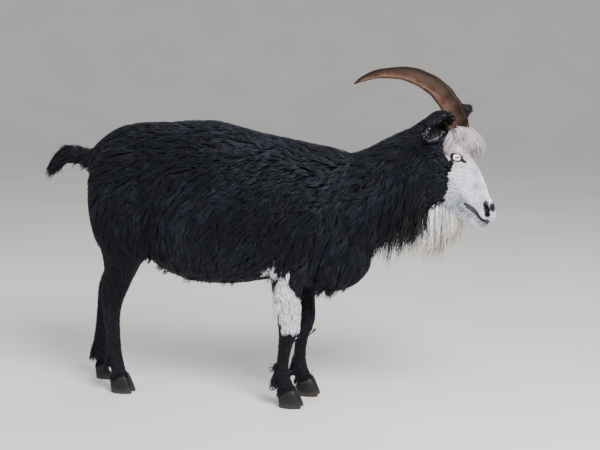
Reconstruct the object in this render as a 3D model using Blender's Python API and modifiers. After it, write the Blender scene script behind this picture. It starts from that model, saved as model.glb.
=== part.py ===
"""Life-size standing goat: black medium-long coat, white face and beard, scimitar horns.

The goat faces +X, its right side faces -Y, and the floor is z = 0. Sizes are in metres.
It is modelled whole, from lofts through a few named sections, and parted by thin cuts.
"""

import math
import random

import bmesh
import bpy
import numpy as np
from mathutils import Matrix, Vector
from mathutils.bvhtree import BVHTree

# Driving dimensions
WITHERS_HEIGHT = 0.70  # floor to the top of the shoulder, coat included
RUMP_HEIGHT = 0.762
BODY_HALF_WIDTH = 0.150  # widest part of the barrel
HEAD_LENGTH = 0.245  # poll to lips
HORN_DEPTH = 0.049  # front to back at the base
EYE_RADIUS = 0.0145
STANCE_HALF_WIDTH = 0.055  # hoof centres from the middle plane
GAP = 0.0003  # between neighbouring pieces
SKIN_SHARE = 0.5  # how much of the coat's depth lies outside the core

# Depth of the coat over the flesh, by region
COAT_BODY = 0.020
COAT_NECK = 0.022
COAT_LEG = 0.005
COAT_HEAD = 0.003

# How finely the flesh is made
BODY_VOXEL = 0.0085
HEAD_VOXEL = 0.0042
BODY_TRIANGLES = 2100
HEAD_TRIANGLES = 1350
BODY_ROUNDS = 6  # of smoothing
HEAD_ROUNDS = 5

# Torso sections: x, top, bottom and half width of the coated outline
TORSO = [
    (-0.514, 0.662, 0.575, 0.034),
    (-0.475, 0.712, 0.530, 0.074),
    (-0.400, 0.758, 0.470, 0.108),
    (-0.300, RUMP_HEIGHT + 0.010, 0.378, 0.130),
    (-0.200, RUMP_HEIGHT + 0.004, 0.322, BODY_HALF_WIDTH),
    (-0.100, 0.746, 0.320, BODY_HALF_WIDTH + 0.004),
    (0.000, 0.724, 0.335, BODY_HALF_WIDTH - 0.004),
    (0.080, WITHERS_HEIGHT + 0.008, 0.332, 0.134),
    (0.150, WITHERS_HEIGHT - 0.006, 0.316, 0.116),
    (0.200, 0.670, 0.322, 0.090),
    (0.236, 0.610, 0.400, 0.052),
]

# Neck sections from the shoulders to the back of the skull:
# centre x and z, half depth across the neck in side view, half width
NECK = [
    (0.100, 0.515, 0.150, 0.100),
    (0.180, 0.535, 0.140, 0.094),
    (0.245, 0.560, 0.128, 0.082),
    (0.305, 0.592, 0.115, 0.072),
    (0.360, 0.625, 0.110, 0.066),
    (0.410, 0.655, 0.104, 0.060),
    (0.450, 0.672, 0.080, 0.050),
]

# Head sections: distance down the face from the poll, forehead side, jaw side, half width.
# The two middle numbers are distances from the head's axis, plus is towards the forehead.
HEAD_POLL = Vector((0.470, 0.0, 0.735))
HEAD_TILT = math.radians(66)  # the face's slope below the horizon
HEAD = [
    (-0.045, -0.020, -0.100, 0.036),
    (-0.020, 0.008, -0.118, 0.048),
    (0.010, 0.026, -0.124, 0.053),
    (0.045, 0.035, -0.124, 0.056),
    (0.080, 0.034, -0.116, 0.057),
    (0.115, 0.032, -0.102, 0.048),
    (0.150, 0.031, -0.088, 0.039),
    (0.180, 0.031, -0.074, 0.033),
    (0.205, 0.032, -0.056, 0.030),
    (0.225, 0.025, -0.043, 0.028),
    (HEAD_LENGTH - 0.005, 0.010, -0.031, 0.022),
    (HEAD_LENGTH + 0.006, -0.008, -0.026, 0.010),
]

# Soft forms on the head, in its own axes: place (down, front, out to each side), then radii
# down the face, sideways and towards the forehead
FACE_FORMS = [
    ("cheek", (0.085, -0.070, 0.030), (0.060, 0.024, 0.048)),
    ("brow", (0.046, 0.010, 0.036), (0.024, 0.016, 0.014)),
    ("nose wing", (0.212, 0.012, 0.013), (0.025, 0.018, 0.019)),
    ("upper lip", (0.214, -0.008, 0.014), (0.032, 0.018, 0.014)),
    ("forelock root", (0.024, 0.040, 0.0), (0.030, 0.026, 0.016)),
    ("chin", (0.223, -0.030, 0.0), (0.024, 0.021, 0.019)),
]

# Legs: x and z of each joint's centre, half depth, half width, distance out from the middle
FORELEG = [
    ("shoulder", 0.122, 0.590, 0.060, 0.034, 0.068),
    ("upper arm", 0.118, 0.520, 0.078, 0.044, 0.078),
    ("point of elbow", 0.088, 0.430, 0.066, 0.042, 0.082),
    ("forearm", 0.068, 0.350, 0.044, 0.032, 0.072),
    ("forearm low", 0.064, 0.275, 0.034, 0.027, 0.062),
    ("knee", 0.065, 0.215, 0.032, 0.026, 0.058),
    ("below knee", 0.055, 0.172, 0.024, 0.020, 0.056),
    ("cannon", 0.048, 0.128, 0.021, 0.018, 0.055),
    ("cannon low", 0.045, 0.096, 0.023, 0.019, 0.055),
    ("fetlock", 0.046, 0.072, 0.027, 0.023, 0.055),
    ("pastern", 0.055, 0.052, 0.026, 0.022, 0.055),
    ("coronet", 0.062, 0.036, 0.029, 0.025, 0.055),
    ("in the hoof", 0.066, 0.018, 0.026, 0.023, 0.055),
]
HINDLEG = [
    ("hip", -0.385, 0.680, 0.070, 0.034, 0.068),
    ("thigh", -0.390, 0.605, 0.100, 0.046, 0.078),
    ("middle of thigh", -0.392, 0.525, 0.098, 0.052, 0.082),
    ("stifle", -0.390, 0.445, 0.084, 0.048, 0.082),
    ("gaskin", -0.399, 0.385, 0.056, 0.037, 0.076),
    ("gaskin low", -0.415, 0.330, 0.042, 0.028, 0.068),
    ("hock", -0.435, 0.277, 0.038, 0.025, 0.062),
    ("below hock", -0.440, 0.225, 0.029, 0.021, 0.059),
    ("cannon", -0.437, 0.160, 0.025, 0.019, 0.057),
    ("cannon low", -0.434, 0.108, 0.025, 0.020, 0.055),
    ("fetlock", -0.432, 0.078, 0.028, 0.024, 0.055),
    ("pastern", -0.424, 0.054, 0.026, 0.023, 0.055),
    ("coronet", -0.419, 0.036, 0.029, 0.025, 0.055),
    ("in the hoof", -0.415, 0.018, 0.026, 0.023, 0.055),
]
# How far each foot stands ahead of those sections; a leg leans to it from its top joint
FOOT_SHIFT = {
    ("fore", "right"): 0.0,
    ("fore", "left"): 0.019,
    ("hind", "right"): -0.008,
    ("hind", "left"): -0.108,
}
SIDE_SIGN = {"right": -1, "left": 1}

# Claws: the horny toe, two to a foot
CLAW_LENGTH = 0.060  # along the sole
CLAW_WIDTH = 0.0245
CLAW_HEIGHT = 0.040  # coronet above the sole at the toe
HEEL_HEIGHT = 0.024
CLEFT = 0.0016  # between a foot's two claws
CLAW_LEVELS = [  # height, length and width as shares, how far ahead of the foot's centre
    (0.000, 1.00, 0.96, 0.0050),
    (0.003, 1.02, 1.00, 0.0045),
    (0.020, 0.93, 0.99, 0.0010),
    (0.040, 0.80, 0.93, -0.0040),
    (0.056, 0.70, 0.86, -0.0080),
]
CLAW_SIDES = 12
TOE_TAPER = 0.42  # how much narrower a claw is at its toe
DEWCLAW_LENGTH = 0.019
DEWCLAW_RADII = (0.0075, 0.0065, DEWCLAW_LENGTH / 2)
DEWCLAW_TILT = math.radians(-35)
DEWCLAW_BACK = 0.66  # how far behind the fetlock's middle, as a share of its half depth

# Tail: a short tail carried up, drooping at its tufted tip
TAIL = [
    (-0.470, 0.640, 0.034, 0.030),
    (-0.515, 0.643, 0.027, 0.024),
    (-0.548, 0.655, 0.020, 0.018),
    (-0.580, 0.659, 0.018, 0.016),
    (-0.605, 0.652, 0.014, 0.012),
    (-0.622, 0.642, 0.006, 0.005),
]

# Horn: x, distance from the middle, z, half depth as a share of the base's
HORN = [
    (0.497, 0.024, 0.712, 1.00),
    (0.490, 0.028, 0.750, 1.00),
    (0.472, 0.034, 0.802, 0.88),
    (0.430, 0.043, 0.851, 0.76),
    (0.366, 0.054, 0.881, 0.62),
    (0.303, 0.062, 0.883, 0.46),
    (0.262, 0.067, 0.871, 0.28),
    (0.238, 0.070, 0.858, 0.05),
]
HORN_FLATNESS = 0.66  # width over depth
HORN_TIP_RISE = {"right": 0.0, "left": 0.008}  # the left horn droops less at its tip
HORN_RINGS = 11  # growth rings on the base half
HORN_RING_HEIGHT = 0.0011

# Ear: a cupped leaf held out sideways, the right one level, the left one forward and up.
# Directions are for an ear on +Y and are mirrored for the right one.
EAR_ROOT = Vector((0.461, 0.040, 0.761))
EAR_DIRECTION = {"right": Vector((-0.17, 0.96, 0.13)), "left": Vector((0.41, 0.86, 0.32))}
EAR_OPENING = {"right": Vector((0.55, 0.55, -0.58)), "left": Vector((0.80, 0.20, -0.50))}
EAR_DROOP = 0.016  # of the tip below the line that the ear starts on
EAR_LENGTH = 0.108
EAR_HALF_WIDTH = 0.040
EAR_THICKNESS = 0.0030

# Eye, nostril and mouth, in the head's own axes: down the face, towards the forehead, sideways
EYE_AT = (0.061, -0.001, 0.0415)
LID_THICKNESS = 0.0024
EYE_OPENING = (0.0125, 0.0082)  # half length and half height between the lids
EYE_SLANT = math.radians(14)
LID_SHAPE = (1.0, 0.98, 0.86)  # of the lids' shell, as shares of its radius
NOSTRIL_RADII = (0.0125, 0.0080, 0.0034)
NOSTRIL_SLOPE, NOSTRIL_TURN = math.radians(62), math.radians(-24)
NOSTRIL_AT = (0.212, 0.0145, 0.0205)
MOUTH = [
    (0.178, -0.0290, 0.0335),
    (0.193, -0.0180, 0.0320),
    (0.210, -0.0100, 0.0290),
    (0.227, -0.0030, 0.0225),
    (0.240, 0.0035, 0.0110),
    (0.2445, 0.0055, 0.0),
]
MOUTH_GROOVE = 0.0021

# Locks: flat tapered prisms, three-sided, each with its root sunk in the flesh
COAT_PROFILE = [(0.0, 0.80), (0.34, 1.00), (0.70, 0.66)]  # share of the length, of the width
LONG_PROFILE = [(0.0, 0.85), (0.28, 1.00), (0.55, 0.86), (0.80, 0.52)]
LOCK_SPACING = 0.101  # between roots on the flanks
LOCK_LENGTH = 0.108
LOCK_HALF_WIDTH = 0.0165
LOCK_DEPTH = 0.0085
ROOT_SUNK = 0.009
LOCK_LIFT = 0.011  # of the tip over the flesh
SEED = 5010

# Beard roots on the jaw: x, half spread sideways, how many; then where its tips hang
BEARD_ROOTS = [(0.474, 0.007, 2), (0.463, 0.013, 4), (0.450, 0.018, 5), (0.434, 0.016, 4),
               (0.420, 0.010, 3)]
BEARD_ROOT_HEIGHT = 0.522
BEARD_ROOT_MASS = [(0.450, 0.560, 0.034, 0.024), (0.450, 0.525, 0.036, 0.021),
                   (0.452, 0.495, 0.031, 0.015), (0.450, 0.472, 0.016, 0.007)]
BEARD_LENGTH = 0.128
FORELOCK_COUNT = 11
FORELOCK_LENGTH = 0.070
THROAT_LOCKS = 6
TAIL_LOCKS = 10
ELBOW_LOCKS = 5
FETLOCK_LOCKS = 3  # behind each foot, over its dewclaws
SMALL_LOCK = (0.008, 0.006)  # half width and depth of the throat's and elbows' locks
TAIL_LOCK = (0.0085, 0.006)
FORELOCK_LOCK = (0.0130, 0.0085)
BEARD_LOCK = (0.0120, 0.0065)
THROAT_LENGTHS = (0.050, 0.072)
TAIL_LENGTHS = (0.040, 0.052)

# Where the coat's locks are rooted: rows up the flanks, two lines on the back, three below
FLANK_RANGE = ((-0.500, 0.410), (0.350, RUMP_HEIGHT))  # x, then z
BACK_RANGE, BACK_LINES = (-0.455, 0.400), (-0.022, 0.022)
BELLY_RANGE, BELLY_LINES = (-0.240, 0.220), (-0.055, 0.0, 0.055)
ROOT_STRAY = 0.011  # of each root from its even place

# Colour (linear) and roughness of each kind of surface
SURFACES = {
    "coat": ((0.012, 0.012, 0.017), 0.55),
    "face": ((0.78, 0.78, 0.80), 0.75),
    "ear": ((0.020, 0.018, 0.020), 0.65),
    "eye": ((0.62, 0.60, 0.52), 0.08),
    "horn": ((0.13, 0.085, 0.07), 0.42),
    "claw": ((0.035, 0.032, 0.030), 0.60),
}
SURFACE_OF_NODE = {"head": "face", "ear": "ear", "eye": "eye", "horn": "horn", "claw": "claw"}

# Where the animal is parted, as side-view points
HEAD_CUT = ((0.428, 0.800), (0.392, 0.500))
NECK_CUT = ((0.160, 0.720), (0.250, 0.370))
TAIL_OUTLINE = [(-0.494, 0.720), (-0.524, 0.606), (-0.700, 0.560), (-0.700, 0.740)]
TAIL_HALF_WIDTH = 0.045
HIND_OUTLINE = [
    (-0.56, 0.590), (-0.500, 0.590), (-0.275, 0.335), (-0.210, 0.270), (-0.210, -0.05),
    (-0.70, -0.05), (-0.70, 0.590),
]
FORE_UPPER_OUTLINE = [
    (-0.020, 0.10), (-0.020, 0.330), (0.010, 0.420), (0.100, 0.520), (0.180, 0.490),
    (0.300, 0.330), (0.300, 0.10),
]
FORE_LOWER_OUTLINE = [(-0.060, -0.05), (-0.060, 0.285), (0.300, 0.285), (0.300, -0.05)]
CHEST_HALF_WIDTH = 0.045  # of the breast that stays with the torso between the forelegs


def clear_scene():
    for found in list(bpy.data.objects):
        bpy.data.objects.remove(found)


def collection(name, hidden=False):
    made = bpy.data.collections.new(name)
    bpy.context.scene.collection.children.link(made)
    made.hide_render = hidden
    return made


def mesh_object(name, mesh, into):
    made = bpy.data.objects.new(name, mesh)
    into.objects.link(made)
    return made


def object_from_bmesh(name, bm, into):
    """Triangles only, so that a piece and a grown copy of it bend along the same edges."""
    bmesh.ops.recalc_face_normals(bm, faces=bm.faces)
    bmesh.ops.triangulate(bm, faces=bm.faces)
    mesh = bpy.data.meshes.new(name)
    bm.to_mesh(mesh)
    bm.free()
    return mesh_object(name, mesh, into)


def material(name, colour, roughness):
    made = bpy.data.materials.new(name)
    made.use_nodes = True
    shader = made.node_tree.nodes["Principled BSDF"]
    shader.inputs["Base Color"].default_value = (*colour, 1.0)
    shader.inputs["Roughness"].default_value = roughness
    shader.inputs["Metallic"].default_value = 0.0
    return made


def evaluated_copy(obj, name, into):
    """A new plain mesh object of what obj's modifiers make."""
    bpy.context.view_layer.update()
    graph = bpy.context.evaluated_depsgraph_get()
    mesh = bpy.data.meshes.new_from_object(obj.evaluated_get(graph))
    mesh.transform(obj.matrix_world)
    return mesh_object(name, mesh, into)


def apply_modifiers(obj):
    bpy.context.view_layer.update()
    graph = bpy.context.evaluated_depsgraph_get()
    mesh = bpy.data.meshes.new_from_object(obj.evaluated_get(graph))
    obj.modifiers.clear()
    obj.data = mesh


def boolean(obj, other, operation):
    """Joins or cuts by one solid. MANIFOLD, because EXACT takes minutes on a coat of locks."""
    modifier = obj.modifiers.new(operation.title(), "BOOLEAN")
    modifier.solver = "MANIFOLD"
    modifier.operation = operation
    modifier.object = other
    apply_modifiers(obj)


def union_of(name, pieces, into):
    """One closed body from overlapping closed pieces, which are then removed."""
    group = bpy.data.collections.new(name + " pieces")
    first, rest = pieces[0], pieces[1:]
    for piece in rest:
        group.objects.link(piece)
    modifier = first.modifiers.new("Join", "BOOLEAN")
    modifier.solver = "MANIFOLD"
    modifier.operation = "UNION"
    modifier.operand_type = "COLLECTION"
    modifier.collection = group
    made = evaluated_copy(first, name, into)
    for piece in pieces:
        bpy.data.objects.remove(piece)
    bpy.data.collections.remove(group)
    return made


def keep_largest(obj):
    """Drops loose scraps and sealed hollows: only the largest closed surface stays."""
    bm = bmesh.new()
    bm.from_mesh(obj.data)
    unseen = set(bm.verts)
    groups = []
    while unseen:
        stack = [unseen.pop()]
        group = set(stack)
        while stack:
            for edge in stack.pop().link_edges:
                for vert in edge.verts:
                    if vert in unseen:
                        unseen.discard(vert)
                        group.add(vert)
                        stack.append(vert)
        groups.append(group)
    groups.sort(key=len, reverse=True)
    for group in groups[1:]:
        bmesh.ops.delete(bm, geom=list(group), context="VERTS")
    bm.to_mesh(obj.data)
    bm.free()


def catmull_rom(rows, steps):
    """Rows of numbers, with steps - 1 smooth rows put in between each pair."""
    rows = np.array(rows, float)
    padded = np.vstack([2 * rows[0] - rows[1], rows, 2 * rows[-1] - rows[-2]])
    out = []
    for i in range(1, len(padded) - 2):
        a, b, c, d = padded[i - 1 : i + 3]
        for step in range(steps):
            t = step / steps
            out.append(
                0.5 * (2 * b + (c - a) * t + (2 * a - 5 * b + 4 * c - d) * t**2
                       + (3 * b - a - 3 * c + d) * t**3)
            )
    out.append(rows[-1])
    return np.array(out)


def loft(name, rows, into, sides=20, steps=3, egg=0.0):
    """A closed body through oval sections. A row is the centre, half depth and half width.

    Depth is across the path in side view and width is sideways. egg narrows the side of
    the section that lies to the path's left in side view.
    """
    rows = catmull_rom(rows, steps)
    bm = bmesh.new()
    rings = []
    for i, row in enumerate(rows):
        centre, depth, width = Vector(row[:3]), row[3], row[4]
        ahead = Vector(rows[min(i + 1, len(rows) - 1)][:3])
        behind = Vector(rows[max(i - 1, 0)][:3])
        along = (ahead - behind).normalized()
        across = Vector((-along.z, 0, along.x)).normalized()
        sideways = along.cross(across)
        ring = []
        for k in range(sides):
            angle = 2 * math.pi * k / sides
            c, s = math.cos(angle), math.sin(angle)
            ring.append(bm.verts.new(
                centre + across * depth * s + sideways * width * c * (1 - egg * s)
            ))
        rings.append(ring)
    for lower, upper in zip(rings, rings[1:]):
        for k in range(sides):
            bm.faces.new((lower[k], lower[(k + 1) % sides], upper[(k + 1) % sides], upper[k]))
    bm.faces.new(rings[0])
    bm.faces.new(rings[-1])
    return object_from_bmesh(name, bm, into)


def ellipsoid(name, centre, radii, into, turn=None, segments=16):
    bm = bmesh.new()
    bmesh.ops.create_uvsphere(bm, u_segments=segments, v_segments=segments // 2, radius=1)
    matrix = Matrix.Translation(centre)
    if turn is not None:
        matrix = matrix @ turn.to_4x4()
    matrix = matrix @ Matrix.Diagonal((*radii, 1))
    bmesh.ops.transform(bm, matrix=matrix, verts=bm.verts)
    return object_from_bmesh(name, bm, into)


def prism(name, outline, low_y, high_y, into, grow=0.0):
    """A side-view outline extruded sideways. grow moves every face out by that much."""
    points = [Vector(p) for p in outline]
    area = sum(a.x * b.y - b.x * a.y for a, b in zip(points, points[1:] + points[:1]))
    turn = 1 if area > 0 else -1
    moved = []
    for i, point in enumerate(points):
        before = (point - points[i - 1]).normalized()
        after = (points[(i + 1) % len(points)] - point).normalized()
        out_before = Vector((before.y, -before.x)) * turn
        out_after = Vector((after.y, -after.x)) * turn
        bisector = (out_before + out_after).normalized()
        moved.append(point + bisector * grow / max(0.3, bisector.dot(out_before)))
    bm = bmesh.new()
    face = bm.faces.new([bm.verts.new((p.x, low_y - grow, p.y)) for p in moved])
    made = bmesh.ops.extrude_face_region(bm, geom=[face])["geom"]
    verts = [v for v in made if isinstance(v, bmesh.types.BMVert)]
    bmesh.ops.translate(bm, verts=verts, vec=(0, high_y - low_y + 2 * grow, 0))
    return object_from_bmesh(name, bm, into)


def fused(name, pieces, voxel, rounds, triangles, into):
    """Melts overlapping lofts into one smooth skin of about that many triangles."""
    bm = bmesh.new()
    for piece in pieces:
        bm.from_mesh(piece.data)
    for piece in pieces:
        bpy.data.objects.remove(piece)
    whole = object_from_bmesh(name, bm, into)
    remesh = whole.modifiers.new("Melt together", "REMESH")
    remesh.mode = "VOXEL"
    remesh.voxel_size = voxel
    smooth = whole.modifiers.new("Soften the joins", "SMOOTH")
    smooth.factor = 0.5
    smooth.iterations = rounds
    apply_modifiers(whole)
    count = sum(len(p.vertices) - 2 for p in whole.data.polygons)
    thin = whole.modifiers.new("Fewer faces", "DECIMATE")
    thin.ratio = min(1.0, triangles / count)
    apply_modifiers(whole)
    return whole


def lock_through(name, stations, half_width, depth, into):
    """One lock. A station is its centre, its sideways direction and its outward direction."""
    bm = bmesh.new()
    rings = []
    profile = COAT_PROFILE if len(stations) == len(COAT_PROFILE) + 1 else LONG_PROFILE
    for (_, share), (centre, side, out) in zip(profile, stations):
        rings.append([
            bm.verts.new(centre + side * half_width * share - out * depth * 0.25 * share),
            bm.verts.new(centre - side * half_width * share - out * depth * 0.25 * share),
            bm.verts.new(centre + out * depth * 0.75 * share),
        ])
    tip = bm.verts.new(stations[-1][0])
    bm.faces.new(rings[0])
    for lower, upper in zip(rings, rings[1:]):
        for k in range(3):
            bm.faces.new((lower[k], lower[(k + 1) % 3], upper[(k + 1) % 3], upper[k]))
    for k in range(3):
        bm.faces.new((rings[-1][k], rings[-1][(k + 1) % 3], tip))
    return object_from_bmesh(name, bm, into)


def coat_lie(place):
    """Which way the hair runs: back along the spine, then down the flanks and legs."""
    x, y, z = place
    fall = min(1.0, max(0.0, (RUMP_HEIGHT - z) / 0.30))
    if x > 0.20:
        return Vector((-0.75 + 0.25 * fall, 0.25 * math.copysign(1, y), -0.45 - 0.6 * fall))
    if x < -0.36:
        return Vector((-0.60 + 0.25 * fall, 0.2 * math.copysign(1, y), -0.40 - 0.8 * fall))
    return Vector((-1.0 + 0.35 * fall, 0.30 * math.copysign(1, y), -0.12 - 0.75 * fall))


def along_skin(tree, start, length, lift, rng):
    """Stations of a lock that follows the skin from its sunk root and lifts at its tip."""
    place, normal, _, _ = tree.find_nearest(start)
    sway = rng.uniform(-0.010, 0.010)
    stations = []
    shares = [share for share, _ in COAT_PROFILE] + [1.0]
    turned = Matrix.Rotation(rng.uniform(-0.28, 0.28), 3, normal)
    for share, following in zip(shares, shares[1:] + [1.0]):
        heading = turned @ coat_lie(place)
        heading = (heading - normal * heading.dot(normal)).normalized()
        side = normal.cross(heading)
        height = -ROOT_SUNK + (ROOT_SUNK + lift) * share**0.7
        stations.append((place + normal * height + side * sway * math.sin(4 * share), side, normal))
        place, normal, _, _ = tree.find_nearest(place + heading * length * (following - share))
    return stations


def hanging(root, path, out, rng, spread=0.004):
    """Stations of a lock that hangs free along a path of offsets from its root."""
    shares = [share for share, _ in LONG_PROFILE] + [1.0]
    path = [Vector(p) for p in path]
    twist = rng.uniform(-0.5, 0.5)
    stations = []
    for share in shares:
        at = share * (len(path) - 1)
        low = min(int(at), len(path) - 2)
        offset = path[low].lerp(path[low + 1], at - low)
        heading = (path[low + 1] - path[low]).normalized()
        outward = (out - heading * out.dot(heading)).normalized()
        outward = Matrix.Rotation(twist, 3, heading) @ outward
        side = outward.cross(heading)
        wave = side * spread * math.sin(5 * share + twist * 6)
        stations.append((root + offset + wave, side, outward))
    return stations


def tree_of(obj):
    bm = bmesh.new()
    bm.from_mesh(obj.data)
    tree = BVHTree.FromBMesh(bm)
    bm.free()
    return tree


def coat_roots(tree, rng):
    """Root points over the flanks, neck, shoulders and thighs, then the back and the belly."""
    roots = []

    def stray():
        return rng.uniform(-ROOT_STRAY, ROOT_STRAY)

    (x_low, x_high), (z_low, z_high) = FLANK_RANGE
    rows = math.ceil((z_high - z_low) / (LOCK_SPACING * 0.86))
    for row in range(rows):
        x = x_low + (LOCK_SPACING / 2 if row % 2 else 0)
        while x < x_high:
            for sign in SIDE_SIGN.values():
                at = Vector((x + stray(), sign, z_low + row * LOCK_SPACING * 0.86 + stray()))
                hit, normal, _, _ = tree.ray_cast(at, Vector((0, -sign, 0)))
                if hit and abs(normal.y) > 0.30 and hit.y * sign > 0.02:
                    roots.append(hit)
            x += LOCK_SPACING
    for (x, x_high), lines, start, way in (
        (BACK_RANGE, BACK_LINES, 1.0, -1),
        (BELLY_RANGE, BELLY_LINES, 0.0, 1),
    ):
        while x < x_high:
            for side in lines:
                hit, _, _, _ = tree.ray_cast(Vector((x + stray(), side, start)), Vector((0, 0, way)))
                if hit and hit.z > 0.25:
                    roots.append(hit)
            x += LOCK_SPACING
    return roots


def body_locks(body, into):
    """The coat of the body, and the longer hair of throat, tail, elbows and fetlocks."""
    rng = random.Random(SEED)
    tree = tree_of(body)
    made = []
    for root in coat_roots(tree, rng):
        length = LOCK_LENGTH * rng.uniform(0.8, 1.15)
        width = LOCK_HALF_WIDTH * rng.uniform(0.8, 1.2)
        lift = LOCK_LIFT * rng.uniform(0.8, 1.2) * (0.5 if root.z < 0.35 else 1.0)
        stations = along_skin(tree, root, length, lift, rng)
        made.append(lock_through("coat lock", stations, width, LOCK_DEPTH, into))
    for i in range(THROAT_LOCKS):
        at = Vector((0.308 + 0.018 * i, rng.uniform(-0.022, 0.022), 0.2))
        hit, _, _, _ = tree.ray_cast(at, Vector((0, 0, 1)))
        long = rng.uniform(*THROAT_LENGTHS)
        path = [(0, 0, ROOT_SUNK), (-0.004, 0, -long * 0.5), (-0.014, 0, -long)]
        stations = hanging(hit, path, Vector((0.3, -1, 0)), rng)
        made.append(lock_through("throat lock", stations, *SMALL_LOCK, into))
    for i in range(TAIL_LOCKS):
        along = 0.25 + 0.75 * i / (TAIL_LOCKS - 1)
        x, z = -0.500 - 0.112 * along, 0.648 + 0.010 * math.sin(math.pi * along)
        turn = i * 2.4
        out = Vector((0, math.cos(turn), math.sin(turn)))
        root = Vector((x, 0, z)) + out * 0.005
        reach = rng.uniform(*TAIL_LENGTHS) * (1.1 - 0.25 * along)
        path = [(0, 0, 0), out * 0.010 + Vector((-reach * 0.5, 0, 0.002)),
                out * 0.013 + Vector((-reach, 0, -0.002))]
        stations = hanging(root, path, out, rng, spread=0.002)
        made.append(lock_through("tail lock", stations, *TAIL_LOCK, into))

    def hang_behind(name, at, path):
        """A small lock rooted on the back of a leg, level with a point behind it."""
        hit, _, _, _ = tree.ray_cast(at, Vector((1, 0, 0)))
        stations = hanging(hit, path, Vector((-1, 0, 0.2)), rng, spread=0.002)
        made.append(lock_through(name, stations, *SMALL_LOCK, into))

    for side, sign in SIDE_SIGN.items():
        for i in range(ELBOW_LOCKS):
            y = sign * (0.078 - 0.004 * i + rng.uniform(-0.012, 0.012))
            path = [(ROOT_SUNK, 0, 0.004), (-0.010, 0, -0.018), (-0.014, 0, -0.045)]
            hang_behind("elbow lock", Vector((-0.15, y, 0.385 - 0.028 * i)), path)
        for kind in ("fore", "hind"):
            _, x, z, depth, width, out = leg_section(kind, "fetlock")
            x += FOOT_SHIFT[kind, side] - 3 * depth
            for i in range(FETLOCK_LOCKS):
                y = sign * out + width * 0.5 * (i - 1)
                path = [(ROOT_SUNK, 0, 0.004), (-0.006, 0, -0.014), (-0.007, 0, -0.038)]
                hang_behind("fetlock lock", Vector((x, y, z + 0.022)), path)
    return made


def beard_and_forelock(into):
    """The beard hangs from the jaw and throat; the forelock spills forward from the poll."""
    rng = random.Random(SEED + 1)
    made = []
    for x, spread, count in BEARD_ROOTS:
        for i in range(count):
            y = spread * (2 * i / (count - 1) - 1)
            root = Vector((x + rng.uniform(-0.004, 0.004), y, BEARD_ROOT_HEIGHT))
            front = (x - 0.420) / 0.066
            long = BEARD_LENGTH * rng.uniform(0.80, 1.05) * (0.86 + 0.14 * front)
            bulge = 0.020 * front + rng.uniform(-0.004, 0.004)
            drift = -0.016 - 0.010 * (1 - front) + rng.uniform(-0.008, 0.008)
            path = [(0, 0, ROOT_SUNK), (bulge, y * 0.25, -long * 0.40),
                    (bulge * 0.8, y * 0.1, -long * 0.75), (drift, -y * 0.2, -long)]
            stations = hanging(root, path, Vector((0.4, -1 if y <= 0 else 1, 0)), rng)
            made.append(lock_through("beard lock", stations, *BEARD_LOCK, into))
    for i in range(FORELOCK_COUNT):
        fan = 2 * (i % 6) / 5 - 1
        upper = i < 6
        root = head_point(0.004 if upper else 0.026, 0.020, fan * 0.020)
        long = FORELOCK_LENGTH * rng.uniform(0.8, 1.05) * (1.0 if upper else 0.72)
        puff = (0.049 if upper else 0.032) * (1 - 0.45 * fan * fan)
        axis = (head_point(1, 0) - head_point(0, 0)).normalized()
        front = (head_point(0, 1) - head_point(0, 0)).normalized()
        out = Vector((0, fan * 0.022, 0))
        path = [(0, 0, 0), axis * long * 0.25 + front * puff + out * 0.5,
                axis * long * 0.65 + front * (puff + 0.003) + out,
                axis * long + front * (puff - 0.008) + out * 1.2]
        stations = hanging(root, path, front, rng, spread=0.003)
        made.append(lock_through("forelock", stations, *FORELOCK_LOCK, into))
    return made


def head_point(down, front, side=0.0):
    """A point given in the head's own axes."""
    c, s = math.cos(HEAD_TILT), math.sin(HEAD_TILT)
    return HEAD_POLL + Vector((c * down + s * front, side, -s * down + c * front))


def torso_rows(coat):
    return [
        (x, 0, (top + bottom) / 2, (top - bottom) / 2 - coat, width - coat)
        for x, top, bottom, width in TORSO
    ]


def neck_rows(coat):
    return [(x, 0, z, depth - coat, width - coat) for x, z, depth, width in NECK]


def head_rows(coat):
    rows = []
    for down, front, jaw, width in HEAD:
        centre = head_point(down, (front + jaw) / 2)
        rows.append((*centre, (front - jaw) / 2 - coat, width - coat))
    return rows


def leg_section(kind, name):
    """The row of one named joint of a foreleg or a hind leg."""
    return {row[0]: row for row in (FORELEG if kind == "fore" else HINDLEG)}[name]


def leg_rows(kind, side, coat):
    sections = FORELEG if kind == "fore" else HINDLEG
    top, low = sections[1][2], 0.10
    rows = []
    for _, x, z, depth, width, out in sections:
        lean = min(1.0, max(0.0, (top - z) / (top - low)))
        shift = FOOT_SHIFT[kind, side] * lean
        thin = coat if z < 0.40 else coat * 2
        rows.append((x + shift, SIDE_SIGN[side] * out, z, depth - thin, width - thin))
    return rows


def flesh_of_body(into):
    """Torso, neck, legs and tail, and enough of the skull to end the neck on."""
    coat = COAT_BODY * SKIN_SHARE
    pieces = [
        loft("torso loft", torso_rows(coat), into, sides=28),
        loft("neck loft", neck_rows(COAT_NECK * SKIN_SHARE), into, sides=24),
        loft("skull loft", head_rows(COAT_HEAD)[:6], into, sides=20),
        loft("tail loft", [(x, 0, z, d, w) for x, z, d, w in TAIL], into, sides=14),
    ]
    for kind in ("fore", "hind"):
        for side in SIDE_SIGN:
            rows = leg_rows(kind, side, COAT_LEG * SKIN_SHARE)
            pieces.append(loft(kind + side, rows, into, sides=18))
    return fused("flesh", pieces, BODY_VOXEL, BODY_ROUNDS, BODY_TRIANGLES, into)


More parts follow.
